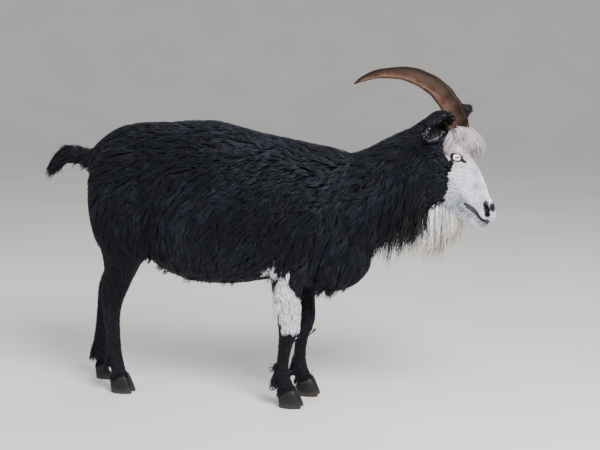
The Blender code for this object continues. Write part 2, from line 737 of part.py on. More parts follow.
def flesh_of_head(into):
    """The skull with its cheeks, brows and lips, the neck that runs into it, and the
    thick roots of the beard and the forelock, half way out to their tips."""
    beard = [(x, 0, z, depth, width) for x, z, depth, width in BEARD_ROOT_MASS]
    pieces = [
        loft("skull", head_rows(COAT_HEAD * SKIN_SHARE), into, sides=28, egg=0.10),
        loft("neck end", neck_rows(COAT_NECK * SKIN_SHARE)[2:], into, sides=24),
        loft("beard root", beard, into, sides=14),
    ]
    tilt = Matrix.Rotation(HEAD_TILT, 3, "Y")
    for form, (down, front, out), radii in FACE_FORMS:
        for side in (-out, out) if out else (0.0,):
            pieces.append(ellipsoid(form, head_point(down, front, side), radii, into, tilt))
    return fused("head flesh", pieces, HEAD_VOXEL, HEAD_ROUNDS, HEAD_TRIANGLES, into)


def horn(side, into, grow=0.0):
    """A scimitar horn, keeled in front, with growth rings on its lower half."""
    sign = SIDE_SIGN[side]
    half = HORN_DEPTH / 2
    coarse = [
        (x, sign * out, z + HORN_TIP_RISE[side] * (i / (len(HORN) - 1)) ** 3,
         half * share, half * share * HORN_FLATNESS)
        for i, (x, out, z, share) in enumerate(HORN)
    ]
    rows = catmull_rom(coarse, 3)
    for i, row in enumerate(rows):
        along = i / (len(rows) - 1)
        ring = math.cos(along * 2 * math.pi * HORN_RINGS)
        bump = HORN_RING_HEIGHT * ring * max(0.0, 1 - along * 1.5)
        row[3:] += bump + grow
    return loft("horn_" + side, rows, into, sides=10, steps=1, egg=-0.30)


def ear(side, into):
    """A leaf rolled into a cup, open forwards and down, closing to a stalk at the skull."""
    mirror = Vector((1, SIDE_SIGN[side], 1))
    out = (EAR_DIRECTION[side] * mirror).normalized()
    root = EAR_ROOT * mirror
    opening = EAR_OPENING[side] * mirror
    opening = (opening - out * opening.dot(out)).normalized()
    across = out.cross(opening)
    along_count, across_count = 9, 7
    bm = bmesh.new()
    grid = []
    for i in range(along_count):
        u = i / (along_count - 1)
        opened = min(1.0, u / 0.55)
        opened = opened * opened * (3 - 2 * opened)
        width = EAR_HALF_WIDTH * (0.26 + 0.74 * opened) * (1 - 0.70 * max(0.0, u - 0.62) / 0.38)
        roll = math.radians(150 - 75 * min(1.0, u * 1.6))
        spine = root + out * EAR_LENGTH * u - Vector((0, 0, EAR_DROOP)) * u * u
        radius = width / max(0.3, math.sin(min(roll, math.pi / 2)))
        row = []
        for j in range(across_count):
            angle = roll * (2 * j / (across_count - 1) - 1)
            offset = across * radius * math.sin(angle) + opening * radius * (0.35 - math.cos(angle))
            row.append(bm.verts.new(spine + offset * (1 if i < along_count - 1 else 0.45)))
        grid.append(row)
    for lower, upper in zip(grid, grid[1:]):
        for j in range(across_count - 1):
            bm.faces.new((lower[j], lower[j + 1], upper[j + 1], upper[j]))
    leaf = object_from_bmesh("ear_" + side, bm, into)
    shell = leaf.modifiers.new("Ear's thickness", "SOLIDIFY")
    shell.thickness = EAR_THICKNESS
    shell.offset = 0
    apply_modifiers(leaf)
    bm = bmesh.new()
    bm.from_mesh(leaf.data)
    bmesh.ops.recalc_face_normals(bm, faces=bm.faces)
    bmesh.ops.triangulate(bm, faces=bm.faces)
    bm.to_mesh(leaf.data)
    bm.free()
    return leaf


def eye(side, into, grow=0.0):
    down, front, out = EYE_AT
    centre = head_point(down, front, SIDE_SIGN[side] * out)
    radius = EYE_RADIUS + grow
    return ellipsoid("eye_" + side, centre, (radius,) * 3, into, segments=16)


def lids(side, into):
    down, front, out = EYE_AT
    centre = head_point(down, front, SIDE_SIGN[side] * (out - 0.0004))
    radius = EYE_RADIUS + LID_THICKNESS
    return ellipsoid("lids", centre, [radius * share for share in LID_SHAPE], into)


def eye_opening(side, into):
    """The almond between the lids, as a plug that reaches out from the eyeball."""
    down, front, out = EYE_AT
    centre = head_point(down, front, SIDE_SIGN[side] * (out + EYE_RADIUS * 0.9))
    length, height = EYE_OPENING
    turn = Matrix.Rotation(EYE_SLANT, 3, "Y")
    reach = EYE_RADIUS * 0.76  # into the lids, but not through the eyeball's back
    return ellipsoid("eye opening", centre, (length, reach, height), into, turn, segments=12)


def nostril(side, surface, into):
    """A slit that runs down the face and a little inwards, centred on the head's surface."""
    down, front, out = NOSTRIL_AT
    sign = SIDE_SIGN[side]
    turn = Matrix.Rotation(NOSTRIL_SLOPE, 3, "Y")
    turn = Matrix.Rotation(NOSTRIL_TURN * sign, 3, "Z") @ turn
    centre = surface.find_nearest(head_point(down, front, sign * out))[0]
    return ellipsoid("nostril", centre, NOSTRIL_RADII, into, turn, segments=12)


def mouth_groove(surface, into):
    """The line between the lips, along the surface from one corner of the mouth to the other."""
    half = [head_point(down, front, side) for down, front, side in MOUTH]
    other = [Vector((p.x, -p.y, p.z)) for p in reversed(half[:-1])]
    path = catmull_rom([tuple(p) for p in half + other], 2)
    curve = bpy.data.curves.new("mouth", "CURVE")
    curve.dimensions = "3D"
    curve.bevel_depth = MOUTH_GROOVE
    curve.bevel_resolution = 0
    curve.use_fill_caps = True
    line = curve.splines.new("POLY")
    line.points.add(len(path) - 1)
    for point, place in zip(line.points, path):
        point.co = (*surface.find_nearest(Vector(place))[0], 1)
    tube = mesh_object("mouth curve", curve, into)
    made = evaluated_copy(tube, "mouth groove", into)
    bpy.data.objects.remove(tube)
    bm = bmesh.new()
    bm.from_mesh(made.data)
    bmesh.ops.remove_doubles(bm, verts=bm.verts, dist=0.00002)
    bmesh.ops.recalc_face_normals(bm, faces=bm.faces)
    bm.to_mesh(made.data)
    bm.free()
    return made


def foot_centre(kind, side):
    sections = FORELEG if kind == "fore" else HINDLEG
    x = sections[-1][1] + FOOT_SHIFT[kind, side]
    return Vector((x, SIDE_SIGN[side] * STANCE_HALF_WIDTH, 0))


def claw(name, kind, side, inner, into):
    """One horny toe, its sole flat on the floor and its wall sloping forwards to the tip."""
    foot = foot_centre(kind, side)
    offset = (CLAW_WIDTH + CLEFT) / 2 * SIDE_SIGN[side] * (-1 if inner else 1)
    half_length, half_width = CLAW_LENGTH / 2, CLAW_WIDTH / 2
    bm = bmesh.new()
    rings = []
    for height, length, width, ahead in CLAW_LEVELS:
        ring = []
        for k in range(CLAW_SIDES):
            angle = 2 * math.pi * k / CLAW_SIDES
            c, s = math.cos(angle), math.sin(angle)
            taper = 1 - TOE_TAPER * max(0.0, c) ** 1.6
            ring.append(bm.verts.new((
                foot.x + ahead + half_length * length * c,
                foot.y + offset + half_width * width * taper * math.copysign(abs(s) ** 0.7, s),
                height,
            )))
        rings.append(ring)
    for lower, upper in zip(rings, rings[1:]):
        for k in range(CLAW_SIDES):
            following = (k + 1) % CLAW_SIDES
            bm.faces.new((lower[k], lower[following], upper[following], upper[k]))
    bm.faces.new(rings[0])
    bm.faces.new(rings[-1])
    return object_from_bmesh(name, bm, into)


def coronet_slab(kind, side, above, into):
    """The space above or below the sloping line where the leg meets its claws."""
    foot = foot_centre(kind, side)
    reach = 0.30  # past all of the leg and its foot
    slope = (CLAW_HEIGHT - HEEL_HEIGHT) / CLAW_LENGTH * reach
    middle = (CLAW_HEIGHT + HEEL_HEIGHT) / 2 + (GAP / 2 if above else -GAP / 2)
    end = 1.0 if above else -0.2
    outline = [(foot.x - reach, middle - slope), (foot.x + reach, middle + slope),
               (foot.x + reach, end), (foot.x - reach, end)]
    return prism("coronet", outline, foot.y - reach, foot.y + reach, into)


def dewclaw(kind, side, inner, into):
    """A small horny knob behind the fetlock, sunk into the leg that it grows from."""
    _, x, z, depth, width, out = leg_section(kind, "fetlock")
    x += FOOT_SHIFT[kind, side]
    sign = SIDE_SIGN[side] * (-1 if inner else 1)
    x -= depth * DEWCLAW_BACK
    centre = Vector((x, SIDE_SIGN[side] * out + sign * width * 0.42, z - 0.010))
    turn = Matrix.Rotation(DEWCLAW_TILT, 3, "Y")
    return ellipsoid("dewclaw", centre, DEWCLAW_RADII, into, turn, segments=8)


def side_of_plane(name, top, bottom, ahead, into, shift):
    """Everything ahead of, or behind, the plane through two side-view points."""
    top, bottom = Vector(top), Vector(bottom)
    along = (top - bottom).normalized()
    forward = Vector((along.y, -along.x))
    high, low = top + along + forward * shift, bottom - along + forward * shift
    reach = 2.0 if ahead else -2.0
    outline = [low, high, high + forward * reach, low + forward * reach]
    return prism(name, [tuple(p) for p in outline], -0.5, 0.5, into)


def leg_space(kind, side, into, grow):
    """The solid space that holds one leg, grown a little to clear the torso from it."""
    sign = SIDE_SIGN[side]

    def slab(name, outline, inner):
        low, high = sorted((sign * inner, sign * 0.4))
        return prism(name, outline, low, high, into, grow)

    if kind == "hind":
        return slab("hind space", HIND_OUTLINE, GAP / 2)
    upper = slab("fore space", FORE_UPPER_OUTLINE, CHEST_HALF_WIDTH)
    lower = slab("fore space low", FORE_LOWER_OUTLINE, GAP / 2)
    boolean(upper, lower, "UNION")
    bpy.data.objects.remove(lower)
    return upper


def duplicate(obj, name, into):
    return mesh_object(name, obj.data.copy(), into)


def carve(obj, cutter, operation):
    boolean(obj, cutter, operation)
    bpy.data.objects.remove(cutter)


def part_body(whole, parts, tools):
    """Cuts the whole body into legs, tail, neck and torso."""

    def tail_space(grow=0.0):
        half = TAIL_HALF_WIDTH
        return prism("tail space", TAIL_OUTLINE, -half, half, tools, grow)

    for kind in ("fore", "hind"):
        for side in SIDE_SIGN:
            leg = duplicate(whole, f"{kind}leg_{side}", parts)
            carve(leg, leg_space(kind, side, tools, 0.0), "INTERSECT")
            for inner in (True, False):
                carve(leg, dewclaw(kind, side, inner, tools), "UNION")
            carve(leg, coronet_slab(kind, side, True, tools), "INTERSECT")
            carve(whole, leg_space(kind, side, tools, GAP), "DIFFERENCE")
    tail = duplicate(whole, "tail", parts)
    carve(tail, tail_space(), "INTERSECT")
    carve(whole, tail_space(GAP), "DIFFERENCE")
    neck = duplicate(whole, "neck", parts)
    carve(neck, side_of_plane("cut", *NECK_CUT, True, tools, GAP / 2), "INTERSECT")
    carve(neck, side_of_plane("cut", *HEAD_CUT, False, tools, -GAP / 2), "INTERSECT")
    torso = duplicate(whole, "torso", parts)
    carve(torso, side_of_plane("cut", *NECK_CUT, False, tools, -GAP / 2), "INTERSECT")


def add_claws(parts, tools):
    for kind in ("fore", "hind"):
        for side in SIDE_SIGN:
            for inner in (True, False):
                name = f"claw_{kind}_{side}_{'inner' if inner else 'outer'}"
                toe = claw(name, kind, side, inner, parts)
                carve(toe, coronet_slab(kind, side, False, tools), "INTERSECT")


def grown(obj, into):
    """A copy of a closed piece, its surface moved out by the gap."""
    made = duplicate(obj, "grown", into)
    swell = made.modifiers.new("Clearance", "DISPLACE")
    swell.strength = GAP
    swell.mid_level = 0
    apply_modifiers(made)
    return made


def finish_head(head, parts, tools):
    """Lids, eyes, nostrils, mouth, horns and ears, each seated in the head."""
    surface = tree_of(head)
    for side in SIDE_SIGN:
        carve(head, lids(side, tools), "UNION")
    for side in SIDE_SIGN:
        carve(head, eye_opening(side, tools), "DIFFERENCE")
        carve(head, eye(side, tools, GAP), "DIFFERENCE")
        carve(head, nostril(side, surface, tools), "DIFFERENCE")
        eye(side, parts)
        horn(side, parts)
        carve(head, horn(side, tools, GAP), "DIFFERENCE")
        leaf = ear(side, parts)
        carve(leaf, horn(side, tools, GAP), "DIFFERENCE")
        carve(head, grown(leaf, tools), "DIFFERENCE")
    carve(head, mouth_groove(surface, tools), "DIFFERENCE")
    carve(head, side_of_plane("cut", *HEAD_CUT, True, tools, GAP / 2), "INTERSECT")


def centre_on_floor(parts):
    """Moves everything so that the origin is under the middle of the whole animal."""
    corners = [Vector(v.co) for obj in parts.objects for v in obj.data.vertices]
    low = [min(c[i] for c in corners) for i in range(3)]
    high = [max(c[i] for c in corners) for i in range(3)]
    shift = Vector((-(low[0] + high[0]) / 2, -(low[1] + high[1]) / 2, -low[2]))
    for obj in parts.objects:
        obj.data.transform(Matrix.Translation(shift))


def main():
    clear_scene()
    parts = collection("goat")
    tools = collection("tools", hidden=True)
    body = flesh_of_body(tools)
    whole = union_of("whole", [body] + body_locks(body, tools), tools)
    part_body(whole, parts, tools)
    bpy.data.objects.remove(whole)
    face = flesh_of_head(tools)
    head = union_of("head with hair", [face] + beard_and_forelock(tools), tools)
    finish_head(head, parts, tools)
    head.name = "head"
    tools.objects.unlink(head)
    parts.objects.link(head)
    add_claws(parts, tools)
    for obj in parts.objects:
        keep_largest(obj)
        colour, roughness = SURFACES[SURFACE_OF_NODE.get(obj.name.split("_")[0], "coat")]
        obj.data.materials.clear()
        obj.data.materials.append(material(obj.name, colour, roughness))
    centre_on_floor(parts)
    for obj in list(tools.objects):
        bpy.data.objects.remove(obj)


main()
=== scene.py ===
# %% [markdown]
# This lesson dresses a life-size model of a long-haired black goat. The solids in the frame
# already stand at the right size, so each step puts a finer piece over one of them: one
# seamless skin, then the coat on it, tuft by tuft, and horns, ears, eyes and hooves.
# The first cell loads the frame and keeps its box, because the visual model must fill the
# same space.

# %% Load the frame
import math

import bmesh
import bpy
import numpy as np
from mathutils import Matrix, Vector
from mathutils.bvhtree import BVHTree
from mathutils.kdtree import KDTree


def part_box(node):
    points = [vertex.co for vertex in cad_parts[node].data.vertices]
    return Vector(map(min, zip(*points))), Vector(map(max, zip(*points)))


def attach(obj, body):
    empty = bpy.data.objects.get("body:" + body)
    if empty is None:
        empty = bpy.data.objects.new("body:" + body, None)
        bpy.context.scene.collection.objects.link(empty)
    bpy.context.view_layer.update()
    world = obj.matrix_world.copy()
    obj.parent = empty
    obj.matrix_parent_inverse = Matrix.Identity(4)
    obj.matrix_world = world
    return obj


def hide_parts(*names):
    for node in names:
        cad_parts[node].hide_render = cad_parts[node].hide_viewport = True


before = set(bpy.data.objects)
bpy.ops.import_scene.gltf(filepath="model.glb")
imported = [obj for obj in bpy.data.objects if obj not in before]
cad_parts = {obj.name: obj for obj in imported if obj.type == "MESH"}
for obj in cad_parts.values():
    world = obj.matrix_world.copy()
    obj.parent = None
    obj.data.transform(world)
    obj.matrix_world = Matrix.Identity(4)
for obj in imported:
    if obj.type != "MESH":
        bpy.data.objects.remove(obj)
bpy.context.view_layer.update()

# %% [markdown]
# A sculptor measures an animal from its own skeleton, not from the corner of the room. So
# every place below is given in the goat's axes: x forwards, y to its left, z up from the
# floor. The head has axes of its own: down the face, out to the forehead, and sideways.
# The right eye of the frame tells how far those axes are from the frame's, and each finished
# piece is moved by that much.

# %% The goat's axes
HEAD_POLL = Vector((0.470, 0.0, 0.735))
HEAD_TILT = math.radians(66)  # the face's slope below the horizon
EYE_AT = (0.061, -0.001, 0.0415)
SIDES = {"right": -1, "left": 1}


def head_point(down, front, side=0.0):
    """A point given in the head's own axes."""
    c, s = math.cos(HEAD_TILT), math.sin(HEAD_TILT)
    return HEAD_POLL + Vector((c * down + s * front, side, -s * down + c * front))


def head_axes(points):
    """How far down the face, towards the forehead and sideways each of many points lies."""
    c, s = math.cos(HEAD_TILT), math.sin(HEAD_TILT)
    x, y, z = (points - np.array(HEAD_POLL)).T
    return c * x - s * z, s * x + c * z, y


eye_low, eye_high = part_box("eye_right")
SHIFT = (eye_low + eye_high) / 2 - head_point(EYE_AT[0], EYE_AT[1], -EYE_AT[2])
print("the goat's axes are moved by", [round(c, 4) for c in SHIFT])

# %% [markdown]
# Materials come first here, because every piece asks for one. Hex colours are what a painter
# picks on a screen, and Blender's shaders want linear light, so one function turns them over.
# One more function adds a node, with its settings and its links, and every material is a few
# calls of it.

# %% Colours and nodes
def linear(code):
    """An sRGB hex colour as linear light."""
    out = []
    for i in (1, 3, 5):
        share = int(code[i : i + 2], 16) / 255
        out.append(share / 12.92 if share <= 0.04045 else ((share + 0.055) / 1.055) ** 2.4)
    return (*out, 1.0)


def add(tree, kind, inputs, stops=(), **settings):
    """Adds a node. An input given a node or a socket is linked, and stops are a ramp's colours."""
    made = tree.nodes.new("ShaderNode" + kind)
    for name, value in settings.items():
        setattr(made, name, value)
    for name, value in inputs.items():
        if isinstance(value, bpy.types.Node):
            value = value.outputs[0]
        if isinstance(value, bpy.types.NodeSocket):
            tree.links.new(value, made.inputs[name])
        else:
            made.inputs[name].default_value = value
    for i, (place, colour) in enumerate(stops):
        ramp = made.color_ramp.elements
        stop = ramp[i] if i < 2 else ramp.new(place)
        stop.position = place
        stop.color = linear(colour)
    return made


def new_material(name):
    """A material with nothing in it but its output, and the tree that its nodes go in."""
    made = bpy.data.materials.new(name)
    made.use_nodes = True
    made.node_tree.nodes.clear()
    return made, made.node_tree


print("white in linear light", [round(c, 3) for c in linear("#e0e0e6")])

# %% [markdown]
# Hair is keratin: a smooth, clear-coated fibre that shines along a line, so its roughness is
# about 0.5 to 0.6 and its IOR 1.55. A tuft stands for some twenty hairs lying together, so
# fine lines run along it: noise stretched along the tuft's own map, about 0.3 mm across on a
# 3 mm tuft. That is too fine to show from far off, but breaks the shine close by. The colour
# comes from the tuft itself, because it changes from root to tip and with the markings.

# %% Hair
HAIR_IOR = 1.55
LINES_ACROSS, LINES_ALONG = 9.0, 0.7  # on a tuft's own map, 1 wide and 20 mm of length long


def hair_material(name, roughness, sheen, sheen_colour, level, line_depth, shine="#ffffff",
                  relief=0.35):
    """Guard hair coloured by each tuft's own attribute, with fine lines along it."""
    made, tree = new_material(name)
    hair = add(tree, "Attribute", {}, attribute_name="hair")
    strand = add(tree, "UVMap", {}, uv_map="strand")
    stretch = add(tree, "Mapping", {"Vector": strand, "Scale": (LINES_ACROSS, LINES_ALONG, 1.0)})
    lines = add(tree, "TexNoise", {"Vector": stretch, "Scale": 1.0, "Detail": 2.0, "Roughness": 0.6})
    shade = add(tree, "MapRange", {
        "Value": lines, "From Min": 0.3, "From Max": 0.7, "To Min": 1 - line_depth,
        "To Max": 1 + line_depth})
    colour = add(tree, "VectorMath", {0: hair.outputs["Color"], "Scale": shade}, operation="SCALE")
    bump = add(tree, "Bump", {"Height": lines, "Strength": relief, "Distance": 0.0004})
    shader = add(tree, "BsdfPrincipled", {
        "Base Color": colour, "Roughness": roughness, "IOR": HAIR_IOR, "Specular IOR Level": level,
        "Specular Tint": linear(shine), "Sheen Weight": sheen, "Sheen Roughness": 0.4,
        "Sheen Tint": linear(sheen_colour), "Normal": bump})
    add(tree, "OutputMaterial", {"Surface": shader})
    return made


BLACK_HAIR = hair_material("Black guard hair", 0.50, 0.0, "#8f9ab4", 0.32, 0.35, "#cdd5ee")
WHITE_HAIR = hair_material("White face hair", 0.60, 0.14, "#ffffff", 0.30, 0.08, relief=0.15)
BEARD_HAIR = hair_material("Ivory beard hair", 0.48, 0.10, "#fff6e4", 0.40, 0.12)
# Each coat's material, with a slot name that is passed along but not used
BLACK_COAT = (BLACK_HAIR, "black_coat")
WHITE_COAT = (WHITE_HAIR, "face")
BEARD_COAT = (BEARD_HAIR, "face")
print("hair materials", BLACK_HAIR.name, WHITE_HAIR.name, BEARD_HAIR.name)

# %% [markdown]
# The hide under the coat shows only at the lips, nostrils and eye rims, and as darkness
# between tufts. It's leather-like living skin: a fine pebble grain about 1 mm across, and moist
# on the bare nose and rims, where the attribute "bare" makes it smoother.

# %% Hide
PEBBLE, MOTTLE = 0.0011, 0.006  # metres from one grain, or one cloud, to the next
DRY_SKIN, MOIST_SKIN = 0.75, 0.44  # roughness


def hide_material(name):
    """Skin with a pebbled grain. Bare places are a little wet."""
    made, tree = new_material(name)
    mark, bare = (add(tree, "Attribute", {}, attribute_name=key) for key in ("marking", "bare"))
    place = add(tree, "TexCoord", {})
    grain = add(tree, "TexVoronoi", {"Vector": place.outputs["Object"], "Scale": 1 / PEBBLE})
    mottle = add(tree, "TexNoise", {
        "Vector": place.outputs["Object"], "Scale": 1 / MOTTLE, "Detail": 3.0})
    shade = add(tree, "MapRange", {
        "Value": mottle, "From Min": 0.3, "From Max": 0.7, "To Min": 0.75, "To Max": 1.2})
    colour = add(tree, "VectorMath", {0: mark.outputs["Color"], "Scale": shade}, operation="SCALE")
    rough = add(tree, "MapRange", {
        "Value": bare.outputs["Fac"], "To Min": DRY_SKIN, "To Max": MOIST_SKIN})
    bump = add(tree, "Bump", {"Height": grain, "Strength": 0.4, "Distance": 0.0003})
    shader = add(tree, "BsdfPrincipled", {
        "Base Color": colour, "Roughness": rough, "IOR": 1.42, "Specular IOR Level": 0.22,
        "Normal": bump})
    add(tree, "OutputMaterial", {"Surface": shader})
    return made


HIDE = hide_material("Pebbled hide")
print("hide material", HIDE.name)

# %% [markdown]
# Horn is dense keratin laid down in layers. It has fine lines along it, growth ridges across
# it, a dull satin surface that wear has polished on the keel, and it darkens to its tip.
# The loft further down writes three attributes on it: how far along a point is, how far it
# faces the inside of the curve, and how far round it is. So the colours follow the horn.

# %% Horn and hoof
HORN_CLOUD = 0.03  # metres across
FIBRES, LAYERS = 60.0, 120.0  # fibres on half the way round a horn, layer edges along it


def horn_material(name):
    """Horn keratin: dark brown in front, paler below, darker at the tip, with growth lines."""
    made, tree = new_material(name)
    along, under, turns = (add(tree, "Attribute", {}, attribute_name=key)
                           for key in ("along", "under", "around"))
    place = add(tree, "TexCoord", {})
    cloud = add(tree, "TexNoise", {
        "Vector": place.outputs["Object"], "Scale": 1 / HORN_CLOUD, "Detail": 4.0, "Roughness": 0.65})
    wander = add(tree, "MapRange", {"Value": cloud, "To Min": -0.45, "To Max": 0.45})
    facing = add(tree, "Math", {0: under.outputs["Fac"], 1: wander}, operation="ADD")
    body = add(tree, "ValToRGB", {0: facing}, stops=(
        (0.10, "#140c08"), (0.97, "#3c2c26"), (0.30, "#261811"), (0.56, "#3d2a20"), (0.80, "#6b534a")))
    tip = add(tree, "MapRange", {"Value": along.outputs["Fac"], "From Min": 0.86, "From Max": 0.98})
    dark = add(tree, "Mix", {0: tip, 6: body, 7: linear("#17110f")}, data_type="RGBA")
    root = add(tree, "MapRange", {
        "Value": along.outputs["Fac"], "From Max": 0.16, "To Min": 0.60, "To Max": 0.0})
    grey = add(tree, "Mix", {0: root, 6: dark.outputs[2], 7: linear("#695550")}, data_type="RGBA")
    # Lines along the horn about 1 mm apart, and layer edges across it every 3 mm
    sheet = add(tree, "CombineXYZ", {0: turns.outputs["Fac"], 1: along.outputs["Fac"]})
    fibre = add(tree, "Mapping", {"Vector": sheet, "Scale": (FIBRES, 5.0, 1.0)})
    fibres = add(tree, "TexNoise", {"Vector": fibre, "Scale": 1.0, "Detail": 3.0})
    layer = add(tree, "Mapping", {"Vector": sheet, "Scale": (1.5, LAYERS, 1.0)})
    layers = add(tree, "TexNoise", {"Vector": layer, "Scale": 1.0, "Detail": 3.0})
    height = add(tree, "Math", {0: fibres, 1: layers}, operation="ADD")
    shade = add(tree, "MapRange", {
        "Value": height, "From Min": 0.75, "From Max": 1.25, "To Min": 0.62, "To Max": 1.30})
    colour = add(tree, "VectorMath", {0: grey.outputs[2], "Scale": shade}, operation="SCALE")
    bump = add(tree, "Bump", {"Height": height, "Strength": 0.55, "Distance": 0.0008})
    rough = add(tree, "MapRange", {"Value": cloud, "To Min": 0.40, "To Max": 0.60})
    shader = add(tree, "BsdfPrincipled", {
        "Base Color": colour, "Roughness": rough, "IOR": 1.38, "Specular IOR Level": 0.3,
        "Specular Tint": linear("#e8c8b4"), "Normal": bump})
    add(tree, "OutputMaterial", {"Surface": shader})
    return made


HOOF_RINGS = 0.002  # metres apart
DUST_TOP, DUST_GRAIN = 0.018, 0.008  # how high the dust reaches, and its clouds' size


def hoof_material(name):
    """Hoof horn: near black and ringed, with pale dust that thins out over its lower part."""
    made, tree = new_material(name)
    place = add(tree, "TexCoord", {})
    split = add(tree, "SeparateXYZ", {0: place.outputs["Object"]})
    stretch = add(tree, "Mapping", {"Vector": place.outputs["Object"], "Scale": (40, 40, 1 / HOOF_RINGS)})
    rings = add(tree, "TexNoise", {"Vector": stretch, "Scale": 1.0, "Detail": 2.0})
    patch = add(tree, "TexNoise", {
        "Vector": place.outputs["Object"], "Scale": 1 / DUST_GRAIN, "Detail": 4.0})
    dust_line = add(tree, "MapRange", {
        "Value": split.outputs[2], "From Min": DUST_TOP, "From Max": 0.0, "To Max": 0.5})
    dust = add(tree, "Math", {0: dust_line, 1: patch}, operation="MULTIPLY")
    wall = add(tree, "ValToRGB", {0: rings}, stops=((0.35, "#060608"), (0.7, "#131215")))
    colour = add(tree, "Mix", {0: dust, 6: wall, 7: linear("#6b6259")}, data_type="RGBA")
    bump = add(tree, "Bump", {"Height": rings, "Strength": 0.4, "Distance": 0.0005})
    shader = add(tree, "BsdfPrincipled", {
        "Base Color": colour.outputs[2], "Roughness": 0.55, "IOR": 1.38, "Normal": bump})
    add(tree, "OutputMaterial", {"Surface": shader})
    return made


HORN_KERATIN = horn_material("Weathered horn keratin")
HOOF_KERATIN = hoof_material("Hoof keratin")
print("keratin materials", HORN_KERATIN.name, HOOF_KERATIN.name)

# %% [markdown]
# A goat's eye is a wet ball with a pale iris and a pupil that is a slit, level with the
# ground. The eyeball carries an attribute "gaze": how far each point lies ahead of, above and
# out from its centre, as shares of the radius. The iris is a disc in that map, the pupil a
# flat oval, and a clear coat with water's IOR gives the wet gleam.

# %% Eye
IRIS = 0.74  # radius of the iris, as a share of the eyeball's
PUPIL = (0.43, 0.12)  # half length and half height of the slit, as shares too


def eye_material(name):
    """A silver-gold iris, its near-white parts partly a painted reflection, with streaks running out from
    a level slit, and a dark rim.
    """
    made, tree = new_material(name)
    gaze = add(tree, "Attribute", {}, attribute_name="gaze")
    flat = add(tree, "VectorMath", {0: gaze.outputs["Vector"], 1: (1, 1, 0)}, operation="MULTIPLY")
    reach = add(tree, "VectorMath", {0: flat}, operation="LENGTH")
    slit = add(tree, "VectorMath", {0: flat, 1: (1 / PUPIL[0], 1 / PUPIL[1], 0.0)}, operation="MULTIPLY")
    inside = add(tree, "VectorMath", {0: slit}, operation="LENGTH")
    split = add(tree, "SeparateXYZ", {0: flat})
    turn = add(tree, "Math", {0: split.outputs[1], 1: split}, operation="ARCTAN2")
    spokes = add(tree, "CombineXYZ", {0: turn, 1: reach.outputs["Value"]})
    stretch = add(tree, "Mapping", {"Vector": spokes, "Scale": (9.0, 1.6, 1.0)})
    streaks = add(tree, "TexNoise", {"Vector": stretch, "Scale": 1.0, "Detail": 3.0})
    # The iris's near-white stops are partly its own pale colour and partly a painted reflection
    iris = add(tree, "ValToRGB", {0: streaks}, stops=(
        (0.30, "#b9ad8c"), (0.75, "#faf6ea"), (0.5, "#e6dfc6")))
    rim = add(tree, "MapRange", {
        "Value": reach.outputs["Value"], "From Min": IRIS - 0.10, "From Max": IRIS})
    edged = add(tree, "Mix", {0: rim, 6: iris, 7: linear("#1b1512")}, data_type="RGBA")
    hole = add(tree, "MapRange", {"Value": inside.outputs["Value"], "From Min": 1.12, "From Max": 0.92})
    colour = add(tree, "Mix", {0: hole, 6: edged.outputs[2], 7: linear("#050507")}, data_type="RGBA")
    shader = add(tree, "BsdfPrincipled", {
        "Base Color": colour.outputs[2], "Roughness": 0.30, "IOR": 1.38, "Coat Weight": 1.0,
        "Coat Roughness": 0.03, "Coat IOR": 1.34})
    add(tree, "OutputMaterial", {"Surface": shader})
    return made


WET_EYE = eye_material("Wet eyeball")
print("eye material", WET_EYE.name)

# %% [markdown]
# The flesh is a stack of oval sections for each limb, as a sculptor's armature has. The
# numbers are the coat's outer shape, and the skin lies deeper by the coat's depth. A smooth
# curve through each column of the table gives the sections in between.

# %% Sections of the body
# Trunk from the rump to the chest: x, top, bottom, half width
TORSO = [
    (-0.514, 0.662, 0.575, 0.034), (-0.475, 0.712, 0.530, 0.074), (-0.400, 0.758, 0.470, 0.108),
    (-0.300, 0.772, 0.378, 0.130), (-0.200, 0.766, 0.322, 0.150), (-0.100, 0.746, 0.320, 0.154),
    (0.000, 0.724, 0.335, 0.146), (0.080, 0.708, 0.332, 0.134), (0.150, 0.694, 0.316, 0.116),
    (0.200, 0.670, 0.322, 0.090), (0.236, 0.610, 0.400, 0.052),
]
# Neck from the shoulders to the skull: centre x and z, half depth, half width
NECK = [
    (0.100, 0.515, 0.150, 0.100), (0.180, 0.535, 0.140, 0.094), (0.245, 0.560, 0.128, 0.082),
    (0.305, 0.592, 0.115, 0.072), (0.360, 0.625, 0.110, 0.066), (0.410, 0.655, 0.104, 0.060),
    (0.450, 0.672, 0.080, 0.050),
]
# Head, in its own axes: distance down the face, forehead side, jaw side, half width
HEAD = [
    (-0.045, -0.020, -0.100, 0.036), (-0.020, 0.008, -0.118, 0.048),
    (0.010, 0.026, -0.124, 0.053), (0.045, 0.035, -0.124, 0.056), (0.080, 0.034, -0.116, 0.057),
    (0.115, 0.032, -0.102, 0.048), (0.150, 0.031, -0.088, 0.039), (0.180, 0.031, -0.074, 0.033),
    (0.205, 0.032, -0.056, 0.030), (0.225, 0.025, -0.043, 0.028), (0.240, 0.010, -0.031, 0.022),
    (0.251, -0.008, -0.026, 0.010),
]
